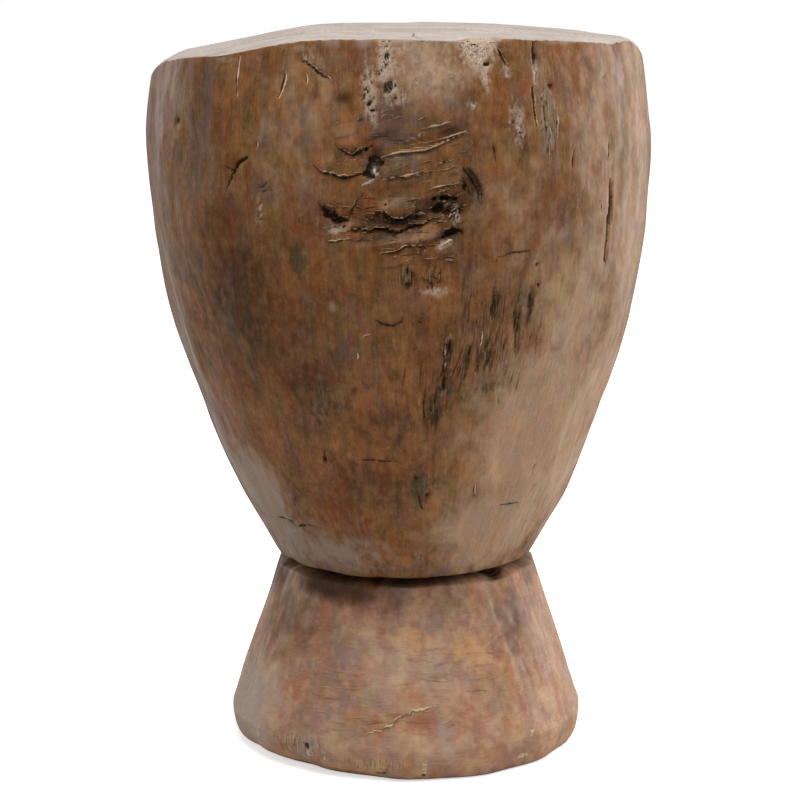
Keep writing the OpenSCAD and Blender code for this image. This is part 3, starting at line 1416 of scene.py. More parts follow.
@dataclass
class Rings:
    """A closed surface of rings, from one pole through rings of equal numbers of points to the other.

    Points hold one row for each ring and one column for each turn. The islands are the parts of
    the bake map: each holds the map places of a run of rings, with the first column repeated
    at the end, and shares its first ring with the island before it.
    """

    name: str
    points: np.ndarray
    poles: tuple[np.ndarray, np.ndarray]
    islands: tuple[np.ndarray, ...]
    attributes: dict[str, np.ndarray]

    def build(self) -> bpy.types.Object:
        """Makes the mesh: quads between rings and fans at the poles, all facing outwards.

        Returns:
            The piece.
        """
        rows, columns = self.points.shape[:2]
        vertices = np.concatenate([self.points.reshape(-1, 3), np.stack(self.poles)]) * MM
        j = np.arange(columns)
        k = (j + 1) % columns
        base = (np.arange(rows - 1) * columns)[:, None]
        quads = np.stack([base + j, base + k, base + k + columns, base + j + columns], axis=-1)
        quads = quads.reshape(-1, 4)
        first = rows * columns
        top = first - columns
        fans = np.concatenate([np.stack([k, j, np.full(columns, first)], axis=1),
                               np.stack([top + j, top + k, np.full(columns, first + 1)], axis=1)])
        corners = np.concatenate([quads.ravel(), fans.ravel()]).astype(np.int32)
        sizes = np.concatenate([np.full(len(quads), 4), np.full(len(fans), 3)])
        mesh = bpy.data.meshes.new(self.name)
        mesh.vertices.add(len(vertices))
        mesh.vertices.foreach_set("co", vertices.astype(np.float32).ravel())
        mesh.loops.add(len(corners))
        mesh.loops.foreach_set("vertex_index", corners)
        mesh.polygons.add(len(sizes))
        mesh.polygons.foreach_set("loop_start", (np.cumsum(sizes) - sizes).astype(np.int32))
        mesh.update(calc_edges=True)
        places = self.map_corners().astype(np.float32).ravel()
        mesh.uv_layers.new(name="OFBake").data.foreach_set("uv", places)
        for name, values in self.attributes.items():
            flat = values.reshape(rows * columns, -1)
            full = np.concatenate([flat, flat[:1], flat[-1:]]).astype(np.float32)
            kind, key = ("FLOAT_VECTOR", "vector") if full.shape[1] == 3 else ("FLOAT", "value")
            mesh.attributes.new(name, kind, "POINT").data.foreach_set(key, full.ravel())
        mesh.validate()
        mesh.shade_smooth()
        mesh.set_sharp_from_angle(angle=SHARP_ANGLE)
        piece = bpy.data.objects.new(self.name, mesh)
        bpy.context.scene.collection.objects.link(piece)
        LOG.info("%s: %d triangles", self.name, 2 * len(quads) + len(fans))
        return piece

    def map_corners(self) -> np.ndarray:
        """Gives the bake map's place of each face corner, in the order of the faces.

        Returns:
            Columns of u and v, first the quads' and then those of the fans at both poles.
        """
        low = np.concatenate([island[:-1] for island in self.islands])
        high = np.concatenate([island[1:] for island in self.islands])
        quads = np.stack([low[:, :-1], low[:, 1:], high[:, 1:], high[:, :-1]], axis=2)
        start, end = self.islands[0][0], self.islands[-1][-1]
        first = np.stack([start[1:], start[:-1], 0 * start[1:] + start.mean(axis=0)], axis=1)
        last = np.stack([end[:-1], end[1:], 0 * end[1:] + end.mean(axis=0)], axis=1)
        return np.concatenate([quads.reshape(-1, 2), first.reshape(-1, 2), last.reshape(-1, 2)])


@dataclass(frozen=True)
class BakeSheet:
    """The sheet on which a block's surface is laid flat, as shares of its side."""

    side_mm: float

    def disc(self, points: np.ndarray, middle: Point) -> np.ndarray:
        """Lays rings flat as seen from above, round a middle on the sheet."""
        closed = np.concatenate([points, points[:, :1]], axis=1)[..., :2]
        return closed / self.side_mm + np.array(middle)

    def strip(self, turns: np.ndarray, radius: float, along: np.ndarray, corner: Point) -> np.ndarray:
        """Lays a wall of that radius flat from a corner, with one length along it for each ring."""
        u = corner[0] + np.append(turns, turns[0] + FULL_TURN) * radius / self.side_mm
        v = corner[1] + along / self.side_mm
        return np.stack(np.meshgrid(u, v), axis=-1)


def outward_normals(points: np.ndarray) -> np.ndarray:
    """Finds the unit normals of a closed grid of rings, as the cross product of its two tangents.

    Args:
        points: One row for each ring and one column for each turn.

    Returns:
        The normals in the same grid.
    """
    around = np.roll(points, -1, axis=1) - np.roll(points, 1, axis=1)
    upward = np.gradient(points, axis=0)
    normal = np.cross(around, upward)
    return normal / (np.linalg.norm(normal, axis=-1, keepdims=True) + TINY)


@dataclass(frozen=True)
class Band:
    """A stretch in which points stand closer: the extra density, and where it fades in and out."""

    extra: float
    rise: Point | None = None
    fall: Point | None = None

    def at(self, value: np.ndarray) -> np.ndarray:
        """Gives the extra density at each value."""
        risen = eased(*self.rise, value) if self.rise else 1.0
        left = 1 - eased(*self.fall, value) if self.fall else 1.0
        return self.extra * risen * left


# Meshes stay smooth where faces meet at less than this angle
SHARP_ANGLE = math.radians(75)
# Density of the columns at the back, and the turns of the middle of the photographed front and of
# its marked part, with the band of degrees to each side of it in which the columns stand closer
BACK_DENSITY = 0.20
CLOSER = ((270.0, Band(0.25, fall=(88, 104))), (279.0, Band(0.50, fall=(29, 42))))
# The rim's distance stored where there is no rim
FAR_BELOW_RIM = -50.0
# Seed, cell in millimetres and share of each size of dent, and how tall a cell is over its width
DENTS = ((5, 24.0, 1.0), (6, 11.0, 0.5), (7, 5.0, 0.22))
DENT_TALL = 1.6
# Gap on the bake sheet between the wall and the rings of the rim that follow it, in millimetres
SHEET_GAP = 1.0


def ring(radius: float, height: float, turns: np.ndarray, middle: Point) -> np.ndarray:
    """Gives one flat circle of points round a middle."""
    return np.stack([middle[0] + radius * np.cos(turns), middle[1] + radius * np.sin(turns),
                     np.full_like(turns, height)], axis=-1)


@dataclass
class Block:
    """One block of the stool: its form, how closely its points stand, its marks and its finish."""

    name: str
    slot: str
    form: BlockForm
    finish: HewnHardwood
    marks: tuple[Mark, ...]
    columns: int
    wall_rings: int
    facets: AdzeFacets
    dent_mm: float
    # Density of the wall's rings where no band makes them closer
    density: float
    bands: tuple[Band, ...]

    def turns(self) -> np.ndarray:
        """Places the columns: closest on the marked part of the front, and wider at the back.

        Returns:
            The columns' turns in radians.
        """
        def density(turn: np.ndarray) -> np.ndarray:
            """Sums the bands at each turn."""
            return sum((band.at(np.abs(np.degrees(wrapped(turn - math.radians(middle)))))
                        for middle, band in CLOSER), BACK_DENSITY)
        return spread(0.0, FULL_TURN, self.columns + 1, density)[:-1]

    def levels(self, low: float, high: float) -> np.ndarray:
        """Places the wall's rings from one height to another, as close as the bands ask."""
        return spread(low, high, self.wall_rings,
                      lambda height: sum((band.at(height) for band in self.bands), self.density))

    def joint_middle(self) -> Point:
        """Gives the tenon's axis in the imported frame."""
        middle = self.form.centre()
        return (self.form.foot_offset - float(middle[0]), -float(middle[1]))

    def carve(self, skin: Skin) -> None:
        """Hews the facets and dents, and then carves every mark in order.

        Args:
            skin: The surface, which takes up all of them.
        """
        skin.hollow -= self.facets.cut(skin.turn, skin.climb, PATTERN_RADIUS)
        for seed, cell, share in DENTS:
            dents = WrappedNoise(seed, cell, DENT_TALL * cell).at(skin.turn, skin.climb)
            skin.hollow += self.dent_mm * share * (1 + dents)
        for mark in self.marks:
            mark.carve(skin)

    def finished(self, rings: Rings) -> bpy.types.Object:
        """Makes the piece, keeps it in its solid's box, and gives it its finish and body.

        Args:
            rings: The block's surface.

        Returns:
            The piece.
        """
        low, high = (np.array(corner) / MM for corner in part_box(self.name))
        rings.points = np.clip(rings.points, low, high)
        piece = rings.build()
        piece.data.materials.append(self.finish.build())
        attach(piece, "root")
        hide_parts(self.name)
        return piece

    def attributes(self, skin: Skin, over_rim: np.ndarray) -> dict[str, np.ndarray]:
        """Gathers what the finish reads, with one value for each vertex.

        Args:
            skin: The carved surface.
            over_rim: How far each vertex lies over the rim.

        Returns:
            The values under their attributes' names.
        """
        across, back = PATTERN_RADIUS * np.cos(skin.turn), PATTERN_RADIUS * np.sin(skin.turn)
        wall = np.stack([across, back, skin.climb], axis=1)
        found = {"wall_mm": wall, "cut_mm": skin.cut, "line_side": skin.line_side,
                 "line_dark": skin.line_dark, "line_pale": skin.line_pale, "over_rim": over_rim}
        found.update({tone.value: held for tone, held in skin.tones.items()})
        return found


# Heights at which the seat block's rings stand closer: at its lip, in the torn wood and at the scar
SEAT_BANDS = (Band(0.9, fall=(122, 127)), Band(0.25, rise=(235, 255)), Band(0.36, (292, 304), (402, 414)))
# Heights at which the foot block's rings stand closer: at its edge, twice, and at its lip
FOOT_BANDS = (Band(3.0, fall=(0, 3)), Band(0.6, fall=(3, 12)), Band(0.8, rise=(109, 114)))


@dataclass
class SeatBlock(Block):
    """The seat block: wall, worn rim, weathered top, and the blind mortise in its underside."""

    rim_rings: int = 6
    cap_rings: int = 22
    rim_round: float = 2.0
    # The rim is rounder at its right end, and a little at its left end, over these radians
    right_round: Point = (4.0, 0.45)
    left_round: Point = (1.2, 0.5)
    # The cap's rings stand closest at the rim: least density, and the share of the way it fades in
    cap_density: Point = (0.1, 0.12)
    # Marks of the wall run this far over the rim, and those of the top this far below it
    over_reach: float = 30.0
    below_reach: float = 8.0
    # The top and the lip at the neck are smoother than the wall: their share of its facets, and
    # the distances over the rim and the heights between which they change
    top_facets: float = 0.2
    top_fade: Point = (0.0, 12.0)
    neck_facets: float = 0.3
    neck_fade: Point = (120.0, 138.0)
    # The bake sheet's side, the wall's stretch on it, and the islands' corners or middles
    sheet_mm: float = 1000.0
    sheet_stretch: float = 1.13
    sheet_wall_share: float = 0.99
    sheet_places: tuple[Point, ...] = ((0.55, 0.45), (0.42, 0.48), (0.004, 0.004), (0.17, 0.58))

    def build(self) -> bpy.types.Object:
        """Builds and dresses the seat block.

        Returns:
            The piece.
        """
        form, joint, turns = self.form, self.form.joint, self.turns()
        rim = form.rim(turns)
        rounding = self.rim_round
        for end, (more, width) in ((0.0, self.right_round), (math.pi, self.left_round)):
            rounding = rounding + more * np.exp(-(wrapped(turns - end) / width) ** 2)
        levels = self.levels(joint.height, form.seat_height)
        shares = ((levels - joint.height) / (form.seat_height - joint.height))[:, None]
        wall_climb = joint.height + shares * (rim - rounding - joint.height)
        wall = form.points(turns[None], wall_climb)
        sharp = form.points(turns, rim)
        reach = np.hypot(sharp[:, 0], sharp[:, 1])

        def on_cap(inward: np.ndarray) -> np.ndarray:
            """Gives the points of the top at distances in from the sharp rim."""
            flat = sharp[:, :2] * (1 - inward / reach)[..., None]
            return np.concatenate([flat, form.top(flat[..., 0], flat[..., 1])[..., None]], axis=-1)

        # A quadratic curve through the sharp corner rounds the rim
        s = np.linspace(0, 1, self.rim_rings + 2)[1:-1, None]
        bend = s[..., None]
        curve = (1 - bend) ** 2 * wall[-1] + 2 * bend * (1 - bend) * sharp + bend ** 2 * on_cap(rounding)
        least, fade = self.cap_density
        steps = spread(0.0, 1.0, self.cap_rings + 1,
                       lambda share: least + (1 - least) * np.exp(-share / fade))[:-1, None]
        inward = rounding + steps * (reach - rounding)
        cap = on_cap(inward)
        middle = self.joint_middle()
        mortise_r = joint.tenon_r + joint.tenon_gap
        ceiling = joint.height + joint.tenon_length + joint.tenon_end_gap
        inner = np.stack([ring(mortise_r, height, turns, middle) for height in (ceiling, joint.height)])
        points = np.concatenate([inner, wall, curve, cap])
        climb = np.concatenate([np.full((2, self.columns), joint.height), wall_climb,
                                rim + (2 * s - 1) * rounding, rim + inward])
        hidden = np.arange(len(points)) < 2
        turn = np.broadcast_to(turns, climb.shape)
        over = climb - rim
        shown = ~hidden[:, None] & np.ones_like(climb, dtype=bool)
        skin = Skin(form, turn.ravel(), climb.ravel(), points[..., :2].reshape(-1, 2),
                    (shown & (over < self.over_reach)).ravel(), (shown & (over > -self.below_reach)).ravel())
        self.carve(skin)
        facet_fade = ((1 - (1 - self.top_facets) * eased(*self.top_fade, over))
                      * (self.neck_facets + (1 - self.neck_facets) * eased(*self.neck_fade, climb)))
        sunk = skin.hollow.reshape(climb.shape) * facet_fade + skin.cut.reshape(climb.shape)
        normals = outward_normals(points[2:])
        points[2:] -= normals * sunk[2:, :, None]
        attributes = self.attributes(skin, np.where(hidden[:, None], FAR_BELOW_RIM, over).ravel())
        sheet = BakeSheet(self.sheet_mm)
        inside, lip, outside, top = self.sheet_places
        corner_rings = 2 + len(wall) + len(curve)
        along = np.concatenate([wall_climb.mean(axis=1), (rim + (2 * s - 1) * rounding).mean(axis=1)])
        stretch = self.sheet_stretch * (along - joint.height)
        lift = np.concatenate([stretch, stretch[-1:] + SHEET_GAP])
        islands = (
            sheet.strip(turns, mortise_r, np.array([0.0, ceiling - joint.height]), inside),
            sheet.disc(points[1:3], lip),
            sheet.strip(turns, self.sheet_wall_share * form.belly_d / 2, lift, outside),
            sheet.disc(points[corner_rings:], top))
        poles = (np.array([*middle, ceiling]), np.array([0.0, 0.0, form.top(*np.zeros((2, 1)))[0]]))
        return self.finished(Rings(self.name + "_hewn", points, poles, islands, attributes))


@dataclass
class FootBlock(Block):
    """The foot block: flared wall, hewn lower edge, and the stub tenon on its upper face."""

    # Rings under the foot, as shares of the way out from its middle
    under_shares: tuple[float, ...] = (0.25, 0.6, 0.9)
    # The marks fade in over this height from the floor, and stand proud by no more than this
    floor_fade: float = 1.5
    proudest: float = 0.2
    # The bake sheet's side, the wall's stretch on it, and the islands' corners or middles
    sheet_mm: float = 760.0
    sheet_stretch: float = 1.08
    sheet_places: tuple[Point, ...] = ((0.17, 0.45), (0.02, 0.02), (0.46, 0.42), (0.62, 0.40))

    def build(self) -> bpy.types.Object:
        """Builds and dresses the foot block.

        Returns:
            The piece.
        """
        form, joint, turns = self.form, self.form.joint, self.turns()
        climb_wall = self.levels(0.0, joint.height)[:, None] + 0 * turns
        wall = form.points(turns[None], climb_wall)
        middle = self.joint_middle()
        under = middle + (wall[0, :, :2] - middle) * np.array(self.under_shares)[:, None, None]
        under = np.concatenate([under, np.zeros(under.shape[:2] + (1,))], axis=-1)
        tenon = np.stack([ring(joint.tenon_r, height, turns, middle)
                          for height in (joint.height, joint.height + joint.tenon_length)])
        points = np.concatenate([under, wall, tenon])
        first, last = len(under), len(under) + len(wall)
        climb = np.concatenate([np.zeros((len(under), self.columns)), climb_wall,
                                np.full((len(tenon), self.columns), joint.height)])
        turn = np.broadcast_to(turns, climb.shape)
        rows = np.arange(len(points))
        on_wall = np.repeat((rows >= first) & (rows < last), self.columns)
        skin = Skin(form, turn.ravel(), climb.ravel(), points[..., :2].reshape(-1, 2), on_wall,
                    np.zeros_like(on_wall))
        self.carve(skin)
        sunk = (skin.hollow + skin.cut).reshape(climb.shape) * eased(0, self.floor_fade, climb)
        normals = outward_normals(points[first:last])
        points[first:last] -= normals * np.maximum(sunk[first:last], -self.proudest)[..., None]
        attributes = self.attributes(skin, np.full(climb.size, FAR_BELOW_RIM))
        sheet = BakeSheet(self.sheet_mm)
        base, outside, face, inside = self.sheet_places
        islands = (
            sheet.disc(points[:first + 1], base),
            sheet.strip(turns, form.foot_d / 2, self.sheet_stretch * climb_wall[:, 0], outside),
            sheet.disc(points[last - 1:last + 1], face),
            sheet.strip(turns, joint.tenon_r, np.array([0.0, joint.tenon_length]), inside))
        poles = (np.array([*middle, 0.0]), np.array([*middle, joint.height + joint.tenon_length]))
        return self.finished(Rings(self.name + "_hewn", points, poles, islands, attributes))


def marks(kind: Callable[..., Mark], *rows: tuple, **shared: object) -> tuple[Mark, ...]:
    """Makes marks of one kind, in order, from rows of its values and what the rows share."""
    return tuple(kind(*row, **shared) for row in rows)


def spots(kind: Callable[..., Mark], *rows: tuple[float, ...], **shared: object) -> tuple[Mark, ...]:
    """Makes round marks of one kind from rows of numbers.

    Args:
        kind: What makes one mark, such as Pit.
        rows: The place's two numbers, half width and half height in millimetres, the depth or the
            share, and at times the lean in degrees.
        shared: What the marks share.

    Returns:
        The marks in the same order.
    """
    return marks(kind, *((row[:2], row[2:4], row[5] if len(row) > 5 else 0.0, row[4]) for row in rows),
                 **shared)


def tints(tone: Tone, *rows: tuple[float, ...]) -> tuple[Mark, ...]:
    """Makes patches of one tone from such rows, with the share in the depth's place."""
    return spots(Patch, *rows, tone=tone)


def charted(where: Where, *given: Mark) -> tuple[Mark, ...]:
    """Moves marks to another chart than the photograph."""
    return tuple(replace(mark, where=where) for mark in given)


# The knot scar at the middle of the front, with its torn ledges and holes, and painted shade and light on
# them
KNOT_SCAR: tuple[Mark, ...] = (
    *marks(Splinters, ((385, 128), (24, 14), 12, 16, (6, 16), (0.15, 0.5), 0.35, 51),
        ((430, 165), (30, 16), 13, 20, (8, 22), (0.2, 0.6), 0.4, 52),
        ((375, 205), (26, 9), 4, 14, (6, 14), (0.2, 0.6), 0.3, 53),
        ((395, 243), (34, 8), 7, 22, (7, 18), (0.3, 0.9), 0.6, 54, (0.2, 0.9)),
        ((430, 262), (28, 7), 8, 12, (5, 14), (0.2, 0.7), 0.45, 55)),
    *marks(Ledge,
        (((333, 143), (337, 147), (344, 151), (351, 154), (358, 151), (362, 147.5), (368, 146)),
         2, 3, 0.4, 1.5, 0.4, 0.8),
        (((312, 164), (316, 168), (320, 172), (330, 173), (341, 177.5), (348, 176), (360, 173),
         (367, 172)), 2.2, 3, 0.5, 1.6, 0.8, 0.9, 0.3),
        (((320, 167), (340, 163), (366, 157)), 0.6, 3, 0.3, NO_LINE, 0.4, 0.2),
        (((379, 158.5), (392, 155), (404, 152.5), (425, 151), (438, 146), (453, 139.5), (472, 132)),
         1.6, 3.2, 0.5, 0.4, 1, 0.9, 0.1, 0.4),
        (((427, 143), (440, 140), (453, 136.5), (469, 131)), 1.5, 3, 0.5, 0.35, 1, 0.8, 0.1),
        (((420, 129), (430, 127.5), (438, 126), (453, 121.5)), 1.8, 4, 0.5, 0.35, 1, 0.9, 0.1),
        (((325, 124), (342, 121), (360, 118)), 0.4, 2, 0.3, NO_LINE, 0.45, 0.2, 0.3),
        (((375, 121), (384, 118), (394, 114.5)), 0.5, 2, 0.3, NO_LINE, 0.5, 0.2, 0.3),
        (((382, 180.5), (395, 178), (410, 176), (422, 172.5)), 1.3, 2.8, 0.5, 0.35, 1, 0.8, 0.1),
        (((429, 190), (440, 187.5), (455, 185), (468, 181.5)), 1.6, 3, 0.5, 0.5, 1, 0.9, 0.1),
        (((360, 188), (368, 184), (376, 179)), 0.7, 2, 0.5, 0.4, 1.3, 0.4)),
    *marks(Split, (((318, 203), (321, 209), (326, 212), (325, 217), (331, 218)), 2.6, 3.2, 0, 1, 0.6, 0.9),
        (((327, 214), (333, 221), (338, 218), (343, 223), (347, 221)), 2.4, 3, 0, 1.3, 0.5, 0.7),
        (((346, 219), (350, 211), (358, 200), (365, 191)), 0.7, 1.2, 0.3, 0.5, 0.3, 0.5)),
    *marks(Ledge, (((325, 201), (333, 207), (342, 208), (350, 203)), 0.9, 3, 0.3, NO_LINE, 0)),
    *marks(Splinters, ((443, 204), (14, 7), 20, 16, (5, 12), (0.5, 1.3), 0.9, 58),
        ((452, 224), (9, 9), 30, 10, (4, 9), (0.4, 1), 0.8, 59),
        ((400, 228), (32, 7), 8, 22, (5, 15), (0.4, 1.3), 0.45, 61, (0.3, 1)),
        ((348, 214), (15, 8), -12, 12, (4, 10), (0.3, 1), 0.3, 62),
        ((345, 226), (12, 5), -8, 8, (4, 9), (0.3, 0.7), 0.6, 60)),
    *marks(Ledge,
        (((361, 214), (367, 216), (374, 216.5), (379, 212), (383, 207.5), (387, 214), (393, 219),
         (403, 219.5), (411, 215.5), (425, 209.5)), 3.2, 4.2, 0.6, 2.1, 0.5, 1.2, 1.3, 0.6),
        (((337, 236), (347, 233), (357, 231.5), (368, 229), (379, 227.5), (388, 231), (395, 233),
         (406, 230), (418, 225.5), (431, 222), (443, 219)), 3, 3.8, 0.6, 2, 0.7, 1.1, 1.2, 0.55),
        (((380, 254), (390, 252), (399, 250), (408, 245), (415, 247), (420, 238)),
         1.6, 2.8, 0.4, 1.1, 0.7, 0.7),
        (((400, 263), (415, 260), (430, 259), (453, 256)), 0.9, 3, 0.5, NO_LINE, 0.8, 0.3),
        (((438, 196), (448, 199), (461, 196)), 1.4, 2, 0.4, 1.2, 0.8, 0.7),
        (((436, 249), (445, 246), (455, 241)), 0.8, 2, 0.6, 0.5, 1.6, 0.5, 0.3),
        (((441, 208), (450, 202), (462, 199)), 0.8, 2, 0.6, 0.5, 1.3),
        (((452, 222), (459, 217), (464, 210)), 0.8, 2, 0.5, 0.5, 1.1)),
    *marks(Split, (((463, 167), (470, 176), (477, 188), (481, 206)), 1, 1.6, 0, 0.3, 0.4, 0.8),
        (((468, 166), (476, 176), (482, 190), (483, 207)), 0.8, 1.4, 0, 0.3, 0.4, 0.8),
        (((462, 176), (468, 186), (472, 198)), 0.7, 1.2, 0, 0.3, 0.5, 0.7),
        (((464, 200), (462, 212), (459, 224)), 1, 1.8, 0, 0.35, 0.5, 0.7)),
    *marks(Pitting, ((434, 281), (8, 6), 0, 10, (0.5, 1.2), 1.4, 0, 56)),
    *marks(TornGrain, ((407, 277), (5, 6), -4, 8, (0.3, 0.8), (4, 9), 0.8, 11),
        ((432, 276), (6, 7), -10, 8, (0.3, 0.8), (4, 8), 0.8, 12)),
    *spots(Dish, (398, 172, 52, 34, 1.6), (385, 128, 14, 13, 1), (347, 124, 9, 16, -1),
        (450, 131, 12, 4, 1.5, -15), (403, 224, 26, 6, 2.4, -8), (447, 205, 9, 9, 2.6),
        (452, 236, 8, 5, 2.8), (347, 164, 14, 4, -1.2), (335, 222, 7, 5, 1.6)),
    *tints(Tone.PURPLE, (335, 220, 3.2, 2.4, 1), (388, 124, 14, 13, 1.3), (390, 143, 13, 4.5, 1.2, -10),
        (395, 165, 26, 8, 0.45)),
    # Painted shade under the ledges and in the hollows
    *tints(Tone.DARK, (403, 222, 19, 5.4, 1.1, -6), (451, 132, 11, 3.4, 1, -15), (344, 97, 8, 3.5, 0.7),
        (326, 213, 5, 5, 1), (341, 226, 8, 3, 0.8), (443, 205, 15, 7, 1.4, -6), (466, 196, 3, 9, 0.9),
        (452, 237, 9, 5, 0.95), (366, 226, 14, 3.4, 0.7), (398, 247, 22, 2.6, 0.6, -8),
        (474, 190, 4.5, 13, 0.5, -12), (447, 140, 11, 2.4, 0.6, -18), (372, 150, 6, 9, 0.6),
        (347, 150, 10, 3, 0.8), (345, 180, 14, 3, 0.6), (395, 188, 16, 3, 0.5, -8),
        (376, 221, 12, 3.4, 0.8), (407, 226, 12, 5, 0.8), (392, 237, 30, 3, 0.9, -8), (376, 152, 4, 5, 0.9),
        (386, 134, 10, 3, 0.8, -10), (340, 218, 7, 3, 0.8), (420, 200, 14, 2.4, 0.5, -8),
        (402, 160, 20, 2.4, 0.5, -8), (350, 158, 12, 2, 0.5)),
    *tints(Tone.GREEN, (400, 224, 17, 6, 0.6), (440, 206, 10, 6, 0.6), (407, 277, 4.5, 6, 0.7),
        (351, 153, 7, 2.5, 0.7), (474, 188, 6, 16, 0.45), (405, 100, 4, 4, 0.45)),
    *spots(Pit, (376, 160, 3, 2.6, 4.5), (370, 168, 1.9, 2.4, 4.5), (377, 170, 1.2, 2.2, 3),
        (371, 177, 2.2, 1.9, 4.5, 12), (382, 163, 1, 1.4, 3), (323, 208, 1.2, 1.4, 2.4),
        (330, 216, 2, 1.3, 2.8), (339, 222, 1.6, 1.6, 2.8), (334, 227, 0.9, 0.7, 2), (343, 228, 1, 0.8, 2),
        (447, 199, 4.4, 1.9, 3.4, -8), (449, 214, 2.8, 1.4, 2.8), (466, 188, 1.3, 2.6, 2.4),
        (457, 200, 1.6, 1.2, 2.4), (436, 200, 2, 1.2, 2.2), (418, 217, 2.4, 1.2, 2.2, -10),
        (439, 210, 4.8, 2.6, 3.6, -26), (441, 206, 2.2, 2, 3.4), (453, 234, 4.6, 2, 4, -22),
        (445, 239, 1.6, 1.2, 2.6), (366, 149, 1.3, 1, 2), (371, 146, 1, 0.8, 1.8)),
    *tints(Tone.ROT, (374, 170, 2.6, 5.6, 1.1, 16), (369, 183, 2.6, 1.2, 1, -20),
        (336, 230, 4.4, 2.6, 0.85), (457, 207, 2.2, 1.8, 0.9, -20), (449, 206, 2.4, 0.9, 0.8, -24),
        (459, 219, 1.8, 4, 0.9, 20), (444, 246, 4.4, 1.8, 1.2, -20), (434, 291, 8, 2.2, 0.8),
        (401, 97, 4.5, 5, 0.55)),
    *tints(Tone.ORANGE, (348, 126, 8, 17, 0.9), (425, 232, 9, 4, 0.7)),
    # Painted light on the raised parts over the ledges
    *tints(Tone.LIGHT, (352, 226, 9, 3, 0.6), (402, 238, 30, 3.4, 0.7, -6), (340, 130, 9, 6, 0.4),
        (398, 203, 14, 4, 0.5), (408, 158, 16, 4, 0.5, -10), (440, 128, 8, 2, 0.5, -14)),
)

